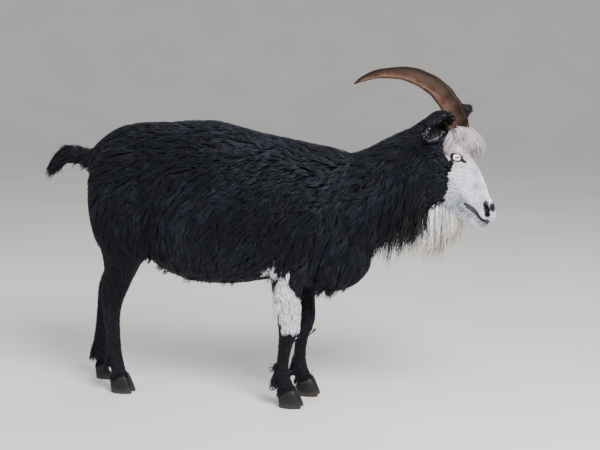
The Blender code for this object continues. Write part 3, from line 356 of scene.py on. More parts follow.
# Legs, from hip or shoulder to the hoof: x, z, half depth, half width, distance from the middle
FORELEG = [
    (0.122, 0.590, 0.060, 0.034, 0.068), (0.118, 0.520, 0.078, 0.044, 0.078),
    (0.088, 0.430, 0.066, 0.042, 0.082), (0.068, 0.350, 0.044, 0.032, 0.072),
    (0.064, 0.275, 0.034, 0.027, 0.062), (0.065, 0.215, 0.032, 0.026, 0.058),
    (0.055, 0.172, 0.024, 0.020, 0.056), (0.048, 0.128, 0.021, 0.018, 0.055),
    (0.045, 0.096, 0.023, 0.019, 0.055), (0.046, 0.072, 0.027, 0.023, 0.055),
    (0.055, 0.052, 0.026, 0.022, 0.055), (0.062, 0.034, 0.027, 0.022, 0.055),
]
HINDLEG = [
    (-0.385, 0.680, 0.070, 0.034, 0.068), (-0.390, 0.605, 0.100, 0.046, 0.078),
    (-0.392, 0.525, 0.098, 0.052, 0.082), (-0.390, 0.445, 0.084, 0.048, 0.082),
    (-0.399, 0.385, 0.056, 0.037, 0.076), (-0.415, 0.330, 0.042, 0.028, 0.068),
    (-0.435, 0.277, 0.038, 0.025, 0.062), (-0.440, 0.225, 0.029, 0.021, 0.059),
    (-0.437, 0.160, 0.025, 0.019, 0.057), (-0.434, 0.108, 0.025, 0.020, 0.055),
    (-0.432, 0.078, 0.028, 0.024, 0.055), (-0.424, 0.054, 0.026, 0.023, 0.055),
    (-0.419, 0.034, 0.027, 0.022, 0.055),
]
LEGS = {"fore": FORELEG, "hind": HINDLEG}
# How far each foot stands ahead of those sections, the leg leaning to it from its top joint
FOOT_SHIFT = {("fore", "right"): 0.0, ("fore", "left"): 0.019,
              ("hind", "right"): -0.008, ("hind", "left"): -0.108}
LEAN_END = 0.10  # below this height the whole shift is reached
# Tail: x, z, half depth, half width
TAIL = [
    (-0.470, 0.640, 0.034, 0.030), (-0.515, 0.643, 0.026, 0.023), (-0.548, 0.655, 0.017, 0.015),
    (-0.580, 0.659, 0.014, 0.012), (-0.605, 0.652, 0.011, 0.010), (-0.622, 0.642, 0.006, 0.005),
]
# How far the skin lies inside those shapes
UNDER_COAT = {"torso": 0.0115, "neck": 0.0125, "leg": 0.0040, "head": 0.0030}


def leg_shift(kind, side, z):
    """How far a leg has leaned ahead of its sections at some height, for one z or many."""
    top = LEGS[kind][1][1]
    return FOOT_SHIFT[kind, side] * np.clip((top - z) / (top - LEAN_END), 0, 1)


def leg_at(kind, side, z):
    """A leg's middle, as x and y, and its half depth, at one height or many."""
    rows = np.array(LEGS[kind])[::-1]
    x, depth, out = (np.interp(z, rows[:, 1], rows[:, k]) for k in (0, 2, 4))
    return x + leg_shift(kind, side, z), SIDES[side] * out, depth


def leg_rows(kind, side, coat):
    """The sections of one leg for a loft, thinned by the coat's depth."""
    rows = []
    for x, z, depth, width, out in LEGS[kind]:
        thin = coat if z < 0.40 else coat * 2
        x += float(leg_shift(kind, side, z))
        rows.append((x, SIDES[side] * out, z, depth - thin, width - thin))
    return rows


def head_rows(coat):
    """The sections of the head for a loft, thinned by the coat's depth."""
    rows = []
    for down, front, jaw, width in HEAD:
        middle = head_point(down, (front + jaw) / 2)
        rows.append((*middle, (front - jaw) / 2 - coat, width - coat))
    return rows


print("nose to tail", round(head_point(0.251, 0).x - TAIL[-1][0], 3), "m before the hair")

# %% [markdown]
# A section is a circle from bmesh, laid across the limb's path and squeezed to an oval, and
# bridge_loops joins each to the next. The lofts overlap freely: a voxel remesh then melts
# them into one closed skin, as clay is pressed over an armature, and smoothing softens the
# joins. The body needs far more smoothing than the face, so two vertex groups share it out.

# %% Lofts
def smooth_rows(rows, steps):
    """Rows of numbers, with steps - 1 smooth rows put in between each pair."""
    rows = np.array(rows, float)
    padded = np.vstack([2 * rows[0] - rows[1], rows, 2 * rows[-1] - rows[-2]])
    out = []
    for a, b, c, d in zip(padded, padded[1:], padded[2:], padded[3:]):
        for t in np.arange(steps) / steps:
            out.append(0.5 * (2 * b + (c - a) * t + (2 * a - 5 * b + 4 * c - d) * t**2
                              + (3 * b - a - 3 * c + d) * t**3))
    return np.array([*out, rows[-1]])


def bridged(bm, before, verts):
    """Joins a new ring to the edges of the ring before it, if any, and gives the new edges."""
    edges = list(dict.fromkeys(edge for vert in verts for edge in vert.link_edges))
    if before:
        bmesh.ops.bridge_loops(bm, edges=before + edges)
    return edges


def section(bm, row, along, sides, egg, cap):
    """One oval ring. egg narrows the side that lies to the path's left in side view."""
    across = Vector((-along.z, 0, along.x)).normalized()
    sideways = along.cross(across)
    middle, depth, width = Vector(row[:3]), row[3], row[4]
    place = Matrix((sideways * width, across * depth, along)).transposed().to_4x4()
    place.translation = middle
    made = bmesh.ops.create_circle(bm, segments=sides, radius=1.0, cap_ends=cap, matrix=place)
    for vert in made["verts"]:
        off = vert.co - middle
        height = off.dot(across) / depth
        vert.co -= sideways * off.dot(sideways) * egg * height
    return made["verts"], across


def loft(bm, rows, sides=32, steps=4, egg=0.0):
    """A closed body through oval sections. A row is the centre, half depth and half width."""
    rows = smooth_rows(rows, steps)
    last = len(rows) - 1
    before = None
    rings = []
    for i, row in enumerate(rows):
        along = Vector(rows[min(i + 1, last)][:3]) - Vector(rows[max(i - 1, 0)][:3])
        verts, across = section(bm, row, along.normalized(), sides, egg, i in (0, last))
        before = bridged(bm, before, verts)
        rings.append((verts, across))
    return rings


def ball(bm, middle, radii, turn=None, segments=24):
    """A ball squeezed to three radii, and turned if asked."""
    place = Matrix.Translation(middle)
    if turn is not None:
        place = place @ turn.to_4x4()
    place = place @ Matrix.Diagonal((*radii, 1))
    return bmesh.ops.create_uvsphere(bm, u_segments=segments, v_segments=segments // 2,
                                     radius=1.0, matrix=place)["verts"]


# %% [markdown]
# A goat's skull shows through in its brows, sockets and cheek crests, and muscle and gristle
# round out cheeks, lips and nose wings. Each form is a ball squeezed to an oval and sunk for
# most of its depth in the head's loft.

# %% Skull and soft forms of the head
FACE_TURN = Matrix.Rotation(HEAD_TILT, 3, "Y")
# In the head's axes: place, then radii down the face, sideways and towards the forehead
FACE_FORMS = {
    "cheek muscle": ((0.088, -0.066, 0.026), (0.062, 0.028, 0.050)),
    "brow": ((0.042, 0.012, 0.031), (0.028, 0.019, 0.019)),
    "eye socket": ((0.062, -0.003, 0.033), (0.029, 0.019, 0.023)),
    "cheek crest": ((0.115, -0.020, 0.030), (0.055, 0.015, 0.016)),
    "nose wing": ((0.211, 0.013, 0.014), (0.026, 0.018, 0.020)),
    "upper lip": ((0.213, -0.001, 0.014), (0.032, 0.019, 0.015)),
    "lower lip": ((0.220, -0.027, 0.009), (0.027, 0.018, 0.015)),
}
MIDDLE_FORMS = {
    "nose bridge": ((0.140, 0.0155, 0.0), (0.082, 0.018, 0.016)),
    "nose pad": ((0.226, 0.006, 0.0), (0.022, 0.021, 0.022)),
    "forehead": ((0.030, 0.014, 0.0), (0.050, 0.042, 0.022)),
}
LID_THICKNESS = 0.0022
EYE_RADIUS = 0.0145


def armature():
    """Every loft of the flesh in one bmesh, all overlapping."""
    bm = bmesh.new()
    deep = UNDER_COAT["torso"]
    loft(bm, [(x, 0, (top + low) / 2, (top - low) / 2 - deep, width - deep)
              for x, top, low, width in TORSO], sides=40)
    deep = UNDER_COAT["neck"]
    loft(bm, [(x, 0, z, depth - deep, width - deep) for x, z, depth, width in NECK])
    loft(bm, [(x, 0, z, depth, width) for x, z, depth, width in TAIL], sides=20)
    for kind in LEGS:
        for side in SIDES:
            loft(bm, leg_rows(kind, side, UNDER_COAT["leg"]), sides=24)
    loft(bm, head_rows(UNDER_COAT["head"]), sides=36, egg=0.10)
    for (down, front, out), radii in FACE_FORMS.values():
        for sign in SIDES.values():
            ball(bm, head_point(down, front, sign * out), radii, FACE_TURN)
    for (down, front, out), radii in MIDDLE_FORMS.values():
        ball(bm, head_point(down, front, out), radii, FACE_TURN)
    return bm


def placed(name, data):
    """A new object in the scene that shows a mesh, a lamp or a camera."""
    made = bpy.data.objects.new(name, data)
    bpy.context.scene.collection.objects.link(made)
    return made


def mesh_object(name, bm):
    """Puts a bmesh in the scene as an object."""
    mesh = bpy.data.meshes.new(name)
    bm.to_mesh(mesh)
    bm.free()
    return placed(name, mesh)


def apply_modifiers(obj):
    """Replaces an object's mesh with what its modifiers make of it, and drops them."""
    graph = bpy.context.evaluated_depsgraph_get()
    mesh = bpy.data.meshes.new_from_object(obj.evaluated_get(graph), depsgraph=graph)
    old = obj.data
    obj.modifiers.clear()
    obj.data = mesh
    bpy.data.meshes.remove(old)


def coordinates(mesh):
    """Where each vertex of a mesh lies, one to a row."""
    places = np.empty(len(mesh.vertices) * 3)
    mesh.vertices.foreach_get("co", places)
    return places.reshape(-1, 3)


# %% [markdown]
# The remesh's grid is fine enough for a lid's edge, and smoothing spreads each joint by a
# reach in metres. A decimate that follows the body's group then saves faces under the coat.

# %% Melt the lofts into one skin
SKIN_VOXEL = 0.0027
BODY_SOFTNESS = 0.0208  # how far the smoothing reaches, as on the solids underneath
HEAD_SOFTNESS = 0.0080
SKIN_FACES = 150000  # triangles left on the skin

skin = mesh_object("skin", armature())
melt = skin.modifiers.new("Melt together", "REMESH")
melt.mode = "VOXEL"
melt.voxel_size = SKIN_VOXEL
apply_modifiers(skin)
# The face starts at the jaw's angle, and its group fades in over 30 mm
JAW_X, FACE_FADE = 0.405, 0.030
face_share = np.clip((coordinates(skin.data)[:, 0] - JAW_X) / FACE_FADE, 0, 1)
everything = skin.vertex_groups.new(name="body")
face = skin.vertex_groups.new(name="face")
for level in range(11):
    picked = np.flatnonzero(np.round(face_share * 10) == level).tolist()
    everything.add(picked, 1 - level / 10, "REPLACE")
    face.add(picked, level / 10, "REPLACE")
for group, reach in ((everything, BODY_SOFTNESS), (face, HEAD_SOFTNESS)):
    soften = skin.modifiers.new("Soften the " + group.name, "SMOOTH")
    soften.factor = 0.5
    soften.iterations = round((reach / SKIN_VOXEL) ** 2)
    soften.vertex_group = group.name
apply_modifiers(skin)
count = sum(len(p.vertices) - 2 for p in skin.data.polygons)
thin = skin.modifiers.new("Fewer faces on the body", "DECIMATE")
thin.ratio = SKIN_FACES / count
thin.vertex_group = "body"
apply_modifiers(skin)
print("skin melted from", count, "triangles to", len(skin.data.polygons), "faces")

# %% [markdown]
# Lids, nostrils and the mouth are cut after the melting, which would wipe them out. Lids are
# a thin shell over each eyeball, joined to the skin, with an almond cut through. A nostril is
# a comma-shaped pit, and the mouth a fine groove from one corner round to the other. A groove
# between the nostrils parts the upper lip.

# %% Lids, nostrils and mouth
EYE_OPENING = (0.0125, 0.0082)  # half length and half height between the lids
EYE_SLANT = math.radians(14)
NOSTRIL_AT = (0.209, 0.0150, 0.0205)
NOSTRIL_RADII = (0.0115, 0.0085, 0.0056)  # half length, depth and half width
NOSTRIL_LOW = (0.011, -0.003, -0.004)  # from its middle to its lower end
NOSTRIL_TAIL = (0.0070, 0.0070, 0.0038)  # radii of the pit at that end
NOSTRIL_SLOPE, NOSTRIL_SPLAY = 62, 24  # degrees
LIP_GROOVE = (0.012, 0.0012, 0.014)  # radii of the groove that parts the upper lip
MOUTH = [  # in the head's axes, from the corner to the middle of the lips
    (0.178, -0.0290, 0.0335), (0.193, -0.0180, 0.0320), (0.210, -0.0100, 0.0290),
    (0.227, -0.0030, 0.0225), (0.240, 0.0035, 0.0110), (0.2445, 0.0055, 0.0),
]
MOUTH_GROOVE = 0.0021


def mouth_line(steps):
    """Points along the mouth, from its right corner to its left one."""
    half = [head_point(down, front, -side) for down, front, side in MOUTH]
    other = [Vector((p.x, -p.y, p.z)) for p in reversed(half[:-1])]
    return smooth_rows([tuple(p) for p in half + other], steps)


def surface_of(obj):
    """A search tree of an object's faces, for the nearest place on it."""
    bm = bmesh.new()
    bm.from_mesh(obj.data)
    tree = BVHTree.FromBMesh(bm)
    bm.free()
    return tree


def lids():
    """A thin ball round each eye, a little flatter than the eye is deep."""
    bm = bmesh.new()
    for sign in SIDES.values():
        middle = head_point(EYE_AT[0], EYE_AT[1], sign * (EYE_AT[2] - 0.0004))
        radius = EYE_RADIUS + LID_THICKNESS
        ball(bm, middle, (radius, radius * 0.98, radius * 0.86), segments=40)
    return bm


def eyes_and_mouth(surface):
    """The almonds between the lids, the upper part of each nostril, and the mouth's groove."""
    bm = bmesh.new()
    for sign in SIDES.values():
        middle = head_point(EYE_AT[0], EYE_AT[1], sign * (EYE_AT[2] + EYE_RADIUS * 0.9))
        slant = Matrix.Rotation(EYE_SLANT, 3, "Y")
        ball(bm, middle, (EYE_OPENING[0], 0.011, EYE_OPENING[1]), slant, segments=32)
        ball(bm, nostril_place(surface, sign, 0.0), NOSTRIL_RADII, nostril_turn(sign))
    path = [surface.find_nearest(Vector(p))[0] for p in mouth_line(6)]
    ends = np.interp(np.abs(np.linspace(-1, 1, len(path))), (0, 0.85, 1), (1, 1, 0.4))
    loft(bm, [(*p, MOUTH_GROOVE * t, MOUTH_GROOVE * t) for p, t in zip(path, ends)],
         sides=10, steps=1)
    return bm


def nostril_tails_and_lip(surface):
    """The lower end of each comma-shaped nostril, and the groove that parts the upper lip."""
    bm = bmesh.new()
    for sign in SIDES.values():
        ball(bm, nostril_place(surface, sign, 0.85), NOSTRIL_TAIL, nostril_turn(sign))
    ball(bm, surface.find_nearest(head_point(0.250, 0.008))[0], LIP_GROOVE, FACE_TURN)
    return bm


def nostril_place(surface, sign, low):
    """A place on the skin along a nostril: 0 is its middle and 1 its lower end."""
    down, front, out = (a + b * low for a, b in zip(NOSTRIL_AT, NOSTRIL_LOW))
    return surface.find_nearest(head_point(down, front, sign * out))[0]


def nostril_turn(sign):
    """How a nostril's pit is turned, as a matrix."""
    slope = Matrix.Rotation(math.radians(NOSTRIL_SLOPE), 3, "Y")
    return Matrix.Rotation(math.radians(-NOSTRIL_SPLAY * sign), 3, "Z") @ slope


def carve(obj, bm, operation):
    """Joins a bmesh to an object, or cuts it out."""
    bmesh.ops.recalc_face_normals(bm, faces=bm.faces)
    bmesh.ops.triangulate(bm, faces=bm.faces)
    tool = mesh_object("tool", bm)
    cut = obj.modifiers.new("Carve", "BOOLEAN")
    cut.operation = operation
    cut.object = tool
    cut.solver = "MANIFOLD"
    apply_modifiers(obj)
    bpy.data.objects.remove(tool)


face_surface = surface_of(skin)
carve(skin, lids(), "UNION")
carve(skin, eyes_and_mouth(face_surface), "DIFFERENCE")
carve(skin, nostril_tails_and_lip(face_surface), "DIFFERENCE")
bm = bmesh.new()
bm.from_mesh(skin.data)
bmesh.ops.triangulate(bm, faces=bm.faces)
bm.to_mesh(skin.data)
bm.free()
print("skin with lids, nostrils and mouth", len(skin.data.polygons), "triangles")

# %% [markdown]
# The markings belong to skin and coat alike, so one function says how white the goat is at
# any point, and both ask it. The face is white ahead of a line that runs from the horns past
# the eye and down to the throat. The near foreleg has a white patch from elbow to knee, the
# flank a small one behind it, and the near hind fetlock a spot. A little noise frays every edge.

# %% Markings
EYES = np.array([head_point(EYE_AT[0], EYE_AT[1], s * EYE_AT[2]) for s in SIDES.values()])
# Heights, and how far forward the white face begins at each
FACE_EDGE_Z = (0.500, 0.541, 0.556, 0.569, 0.590, 0.625, 0.655, 0.690, 0.705, 0.726, 0.740, 0.800)
FACE_EDGE_X = (0.412, 0.431, 0.449, 0.462, 0.471, 0.476, 0.481, 0.469, 0.468, 0.480, 0.484, 0.505)
THROAT_X = 0.33  # no white face behind this
FRAY = 0.004  # metres
WHITE_TUFT = (-0.021, 0.003, 0.0065)  # behind the eye: x and z from it, radius
DARK_PATCH = (-0.016, -0.014, 0.0095)  # below that, the same way
# The near foreleg's white patch: heights, and its rear and front edges at each
LEG_PATCH_Z = (0.200, 0.221, 0.244, 0.266, 0.288, 0.300, 0.318, 0.334, 0.356)
LEG_PATCH_REAR = (0.055, 0.048, 0.047, 0.046, 0.041, 0.036, 0.034, 0.040, 0.066)
LEG_PATCH_FRONT = (0.088, 0.111, 0.113, 0.114, 0.103, 0.090, 0.084, 0.081, 0.076)
LEG_PATCH_ENDS = (0.206, 0.356, -0.050)  # lowest and highest z, and its y on the leg's inner side
FLANK_PATCH = (0.014, 0.357, 0.030, 0.011)  # behind the elbow: x, z, half length, half height
FETLOCK_SPOT = (-0.452, 0.064, 0.0075)  # on the near hind foot: x, z, radius
SEED = 5010


def ripple(points, size):
    """Smooth noise about zero from a few crossed waves, the same on every run."""
    waves = np.random.default_rng(SEED).normal(0, 1, (6, 3))
    phases = np.linspace(0, 5, 6)
    return np.sin(points @ waves.T / size + phases).sum(1) / 3


def inside(value, softness):
    """0 to 1 as a signed distance in metres passes from outside to inside an edge."""
    return np.clip(0.5 + value / softness, 0, 1)


def white_share(points, softness=0.006):
    """How white the coat is at each point, from 0, black, to 1, white."""
    x, y, z = points.T
    wander = ripple(points, 0.009) * FRAY
    face = inside(x - np.interp(z, FACE_EDGE_Z, FACE_EDGE_X) + wander, softness)
    # Seen from the side, both eyes lie at the same place
    eye_x, _, eye_z = EYES[0]
    off = np.hypot(x - eye_x - WHITE_TUFT[0], z - eye_z - WHITE_TUFT[1])
    face = np.maximum(face, inside(WHITE_TUFT[2] - off, 0.003))
    off = np.hypot(x - eye_x - DARK_PATCH[0], z - eye_z - DARK_PATCH[1])
    face *= 1 - inside(DARK_PATCH[2] - off, 0.004)
    face *= x > THROAT_X
    rear = x - np.interp(z, LEG_PATCH_Z, LEG_PATCH_REAR)
    front = np.interp(z, LEG_PATCH_Z, LEG_PATCH_FRONT) - x
    low, high, inner = LEG_PATCH_ENDS
    leg = inside(np.minimum(rear, front) + wander, softness) * inside(inner - y + wander, 0.010)
    leg *= inside(z - low + wander * 2.5, softness) * inside(high - z + wander * 2, softness)
    middle_x, middle_z, length, height = FLANK_PATCH
    off = np.hypot((x - middle_x) / length, (z - middle_z) / height)
    flank = inside((1 - off) * height + wander * 0.5, 0.004) * (y < -0.045)
    spot_x, spot_z, radius = FETLOCK_SPOT
    off = np.hypot(x - spot_x, z - spot_z)
    spot = inside(radius - off + wander * 0.3, 0.003) * (y < -0.055)
    return np.max([face, leg, flank, spot], axis=0)


# %% [markdown]
# Bare skin shows in three places: the rims of the eyes with the dark corner that runs down
# towards the nose, the lips along the line of the mouth, and the nostrils with the pad between
# them. The same distances keep hair off them. The upper lip's edge is paler.

# %% Bare skin
UPPER_LIP_REACH, LOWER_LIP_REACH = 0.0050, 0.0046
RIM_REACH = 0.0030
NOSTRIL_REACH = 0.0082
NOSE_PAD = (0.2130, 0.0120, 0.032, 0.011)  # middle, half length, half width and rear edge
PAD_DIP = 0.0045  # how far hair runs down the pad's middle
GROOVE = (0.0030, 0.246)  # half width of the groove under the pad, and its end at the lip
mouth_places = [face_surface.find_nearest(Vector(p))[0] for p in mouth_line(8)]
# The lower lip's places lie 4.5 mm down and back from the mouth, and stop short of its corners
LIP_STEP = 0.0045 * (head_point(0.6, -0.8) - HEAD_POLL)
lower_places = [Vector(p) + LIP_STEP for p in mouth_places[4:-4]]
# Each nostril's places lie on the skin and again 8 mm in, for the pit's dark walls
nostril_places = [nostril_place(face_surface, sign, low) - Vector((0, sign * deep, 0))
                  for sign in SIDES.values() for low in (-0.9, -0.45, 0.0, 0.45, 0.9)
                  for deep in (0.0, 0.008)]


def ahead_of_mouth(points):
    """How far each point lies in front of the mouth's line: above 0 on the upper lip's side."""
    down, front, _ = head_axes(points)
    return front - np.interp(down, [row[0] for row in MOUTH], [row[1] for row in MOUTH])


def nearest_gap(points, places):
    """The distance from each point to the nearest of a few places."""
    return np.min([np.linalg.norm(points - np.array(p), axis=1) for p in places], axis=0)


def eye_gap(points):
    """How far each point lies outside the almond between the lids, and below its dark corner."""
    c, s = math.cos(EYE_SLANT), math.sin(EYE_SLANT)
    gap = np.full(len(points), 1.0)
    for eye in EYES:
        x, y, z = (points - eye).T
        ahead, above = c * x - s * z, s * x + c * z
        length, height = EYE_OPENING
        ring = (np.hypot(ahead / length, above / height) - 1) * height
        past = ahead - length
        corner = np.hypot((past - 0.004) * 0.45, above + 0.002 + 0.45 * past) - 0.0018
        off = np.where(np.abs(y) < 0.03, np.minimum(ring, corner), 1.0)
        gap = np.minimum(gap, off)
    return gap


def nose_pad(points):
    """1 on the bare skin between the nostrils and down to the lip."""
    down, front, side = head_axes(points)
    middle, half, wide, rear = NOSE_PAD
    upper = np.where(down < middle, half - PAD_DIP * np.exp(-(side / 0.010) ** 2), half)
    pad = (1 - ((down - middle) / upper) ** 2 - (side / wide) ** 4) * half / 2
    pad += ripple(points, 0.006) * 0.0008
    groove = np.min([GROOVE[0] - np.abs(side), down - middle, GROOVE[1] - down], axis=0)
    return inside(np.minimum(np.maximum(pad, groove), front - rear), 0.005)


def bare_share(points):
    """1 on the rims, lips, nose pad and nostrils, and 0 where hair grows."""
    lips = inside(UPPER_LIP_REACH - nearest_gap(points, mouth_places), 0.003)
    lower = inside(LOWER_LIP_REACH - nearest_gap(points, lower_places), 0.004)
    nose = inside(NOSTRIL_REACH - nearest_gap(points, nostril_places), 0.003)
    rims = inside(RIM_REACH - eye_gap(points), 0.002)
    return np.max([lips, lower, nose, rims, nose_pad(points)], axis=0)


def skin_colours(points):
    """Hide colours: pink-grey under white hair, black under black, dark where it's bare."""
    white = white_share(points)[:, None]
    bare = bare_share(points)[:, None]
    gap = nearest_gap(points, mouth_places)
    lips = inside(0.0105 - gap, 0.004)[:, None]
    upper = ahead_of_mouth(points) > 0
    edge = (inside(0.0004 - np.abs(gap - 0.0024), 0.0008) * upper)[:, None]
    under = white * np.array(linear("#c6c1c8")) + (1 - white) * np.array(linear("#0c0c0f"))
    lip = np.where(upper[:, None], linear("#1b1c23"), linear("#2c2e38"))
    dark = lips * lip + (1 - lips) * np.array(linear("#14141b"))
    dark = dark * (1 - edge) + edge * np.array(linear("#5a555f"))
    return under * (1 - bare) + dark * bare


def paint(mesh, name, values):
    """Stores one number, or one colour, for each vertex."""
    kind = "FLOAT" if values.ndim == 1 else "FLOAT_COLOR"
    made = mesh.attributes.new(name, kind, "POINT")
    made.data.foreach_set("value" if values.ndim == 1 else "color", values.ravel())


skin_places = coordinates(skin.data)
paint(skin.data, "marking", skin_colours(skin_places))
paint(skin.data, "bare", bare_share(skin_places))
print("white share of the skin's vertices", round(float(white_share(skin_places).mean()), 3))

# %% [markdown]
# Fur grows from the skin, so the coat needs to ask it where it is. Roots are scattered over
# the triangles by area, thicker where the coat is. A search tree gives the nearest place on
# the skin to any point, which lets a tuft be walked along the surface in short steps.

# %% The skin as ground for the coat
skin_surface = surface_of(skin)
triangles = np.empty(len(skin.data.polygons) * 3, int)
skin.data.polygons.foreach_get("vertices", triangles)
corners = skin_places[triangles.reshape(-1, 3)]
middles = corners.mean(1)
cross = np.cross(corners[:, 1] - corners[:, 0], corners[:, 2] - corners[:, 0])
areas = np.linalg.norm(cross, axis=1) / 2
facings = cross / np.maximum(2 * areas[:, None], 1e-12)
print("skin area", round(float(areas.sum()), 2), "square metres")


def unit(vectors):
    """Directions of length 1."""
    return vectors / np.maximum(np.linalg.norm(vectors, axis=-1, keepdims=True), 1e-9)


def on_skin(points):
    """The nearest place on the skin to each point, and the way out of it there."""
    places, outs = np.empty(points.shape), np.empty(points.shape)
    for i, point in enumerate(points.tolist()):
        place, out, _, _ = skin_surface.find_nearest(point)
        places[i] = place
        outs[i] = out
    return places, outs


def scatter(count, density, rng):
    """That many roots spread over the skin by area times density, and the way out at each."""
    weight = np.cumsum(areas * density)
    draws = (np.arange(count) + rng.random(count)) / count * weight[-1]
    picked = np.minimum(np.searchsorted(weight, draws), len(weight) - 1)
    a, b = rng.random((2, count, 1))
    flip = a + b > 1
    a, b = np.where(flip, 1 - a, a), np.where(flip, 1 - b, b)
    three = corners[picked]
    roots = three[:, 0] * (1 - a - b) + three[:, 1] * a + three[:, 2] * b
    return roots, facings[picked]


# %% [markdown]
# Every coat has a lie. On this goat it runs up the face from the nose, back along the neck
# and spine, slants down the flanks, and points down the legs. Which rule holds where depends
# on the region, so the next cell works out a share for head, neck, legs and tail at any
# point, and blends their directions by it.

# %% Regions and the lie of the coat
# Where head and neck begin: heights, and x at each
HEAD_EDGE = ((0.50, 0.80), (0.392, 0.428))
SHOULDER_EDGE = ((0.37, 0.72), (0.235, 0.145))
# The line along the top that the hair falls away from: x, and the height at each
SPINE = ((-0.5, -0.3, -0.1, 0.1, 0.2), (0.70, 0.77, 0.745, 0.705, 0.67))
CREST = ((0.1, 0.2, 0.3, 0.4, 0.45), (0.69, 0.665, 0.70, 0.755, 0.765))
LEG_TOP = {"fore": 0.42, "hind": 0.50}  # where leg hair gives way to the long coat
TAIL_Z = 0.655


def fade(value, start, end):
    """0 before start and 1 past end, smoothly."""
    t = np.clip((value - start) / (end - start), 0, 1)
    return t * t * (3 - 2 * t)


def leg_share(points, kind, side):
    """How much each point belongs to one leg below the body."""
    x, y, z = points.T
    middle_x, middle_y, depth = leg_at(kind, side, z)
    off = np.hypot((x - middle_x) / depth, (y - middle_y) / (depth * 0.9))
    return (1 - fade(off, 1.25, 1.7)) * (1 - fade(z, LEG_TOP[kind] - 0.08, LEG_TOP[kind]))


def regions(points):
    """Shares for head, neck, tail and legs. What is left over is the trunk."""
    x, _, z = points.T
    legs = np.max([leg_share(points, *leg) for leg in FOOT_SHIFT], axis=0)
    head = fade(x - np.interp(z, *HEAD_EDGE), -0.015, 0.015)
    neck = fade(x - np.interp(z, *SHOULDER_EDGE), -0.04, 0.04) * (1 - head) * (1 - legs)
    tail = fade(-x, 0.505, 0.53) * fade(z, 0.60, 0.62)
    return head, neck, tail, legs


def lie(points, outs):
    """Which way the hair runs at each point, along the skin."""
    x, y, z = points.T
    head, neck, tail, legs = regions(points)
    trunk = np.clip(1 - head - neck - tail - legs, 0, 1)
    fall = np.clip((np.interp(x, *SPINE) - z) / 0.26, 0, 1)
    zero = np.zeros(len(points))
    on_trunk = np.stack([-1 + 0.62 * fall, zero, -0.10 - 0.95 * fall], 1)
    fall = np.clip((np.interp(x, *CREST) - z) / 0.16, 0, 1)
    on_neck = np.stack([-1 + 0.55 * fall, zero, -0.35 - 0.75 * fall], 1)
    on_legs = np.stack([zero - 0.14, zero, zero - 1.0], 1)
    on_tail = np.stack([zero - 1, y * 6, (z - TAIL_Z) * 6], 1)
    down, front, side = head_axes(points)
    up_face = np.array(head_point(-1, 0, 0) - head_point(0, 0, 0))
    back_cheek = np.array((-0.95, 0.0, -0.30))
    # Under the mouth's line the chin's hair runs back as the cheek's does
    chin = fade(down, 0.160, 0.178) * fade(-ahead_of_mouth(points), -0.001, 0.004)
    low = np.maximum(fade(-front, 0.010, 0.060), chin)[:, None]
    on_head = up_face * (1 - low) + back_cheek * low
    on_head[:, 1] += np.sign(side) * 0.28 * fade(np.abs(side), 0.0, 0.02) * (1 - low[:, 0])
    flow = (on_trunk * trunk[:, None] + on_neck * neck[:, None] + on_legs * legs[:, None]
            + on_tail * tail[:, None] + unit(on_head) * head[:, None])
    flow -= outs * np.sum(flow * outs, axis=1, keepdims=True)
    return unit(flow)


def turned(flow, outs, angle):
    """Directions turned about the way out of the skin."""
    return flow * np.cos(angle)[:, None] + np.cross(outs, flow) * np.sin(angle)[:, None]


# %% [markdown]
# A tuft is a long three-sided blade: flat underneath, ridged on top, its root sunk in the
# skin and its tip a point. Tens of thousands of them can't be made one operator at a time, so
# they are joined meshes from arrays: numpy lays out every corner at once. Each tuft carries
# its colour, a map of its own for the fine lines, and the map OFBake, in which it is a small
# patch at its root's place on an unwrap of the skin.

# %% Unwrap of the skin for the coat
PATCH = 0.003  # width of a tuft's patch, as a share of the map's


def unwrap(points):
    """A place in the unit square for each root: along its limb by the angle round it."""
    x, y, z = points.T
    down, front, side = head_axes(points)
    head, neck, tail, _ = regions(points)
    along = np.stack([(x + 0.56) / 0.85, (x - 0.10) / 0.36, (down + 0.06) / 0.34,
                      (-x - 0.48) / 0.16, z / 0.50, z / 0.50, z / 0.50, z / 0.50])
    centre = [np.arctan2(y, z - 0.54), np.arctan2(y, z - np.interp(x, (0.1, 0.45), (0.51, 0.67))),
              np.arctan2(side, front + 0.04), np.arctan2(y, z - 0.65)]
    shares = [np.full(len(points), 0.01), neck, head, tail]
    for leg in FOOT_SHIFT:
        middle_x, middle_y, _ = leg_at(*leg, z)
        centre.append(np.arctan2(y - middle_y, x - middle_x))
        shares.append(leg_share(points, *leg))
    island = np.argmax(shares, axis=0)
    many = np.arange(len(points))
    around = np.array(centre)[island, many] / (2 * math.pi) + 0.5
    length = np.clip(along[island, many], 0, 1)
    column, row = island % 4, island // 4
    return np.stack([(column + 0.02 + 0.94 * around) / 4, (row + 0.02 + 0.94 * length) / 2], 1)


# %% [markdown]
# One tuft is a path of stations with a triangle laid across each and a point at the end. All
# tufts of a piece have as many stations, so one pattern of faces serves them all, shifted on.

# %% Tufts as joined meshes from arrays
RIDGE, SOLE = 0.72, -0.28  # heights of a tuft's ridge and sides, as shares of its thickness


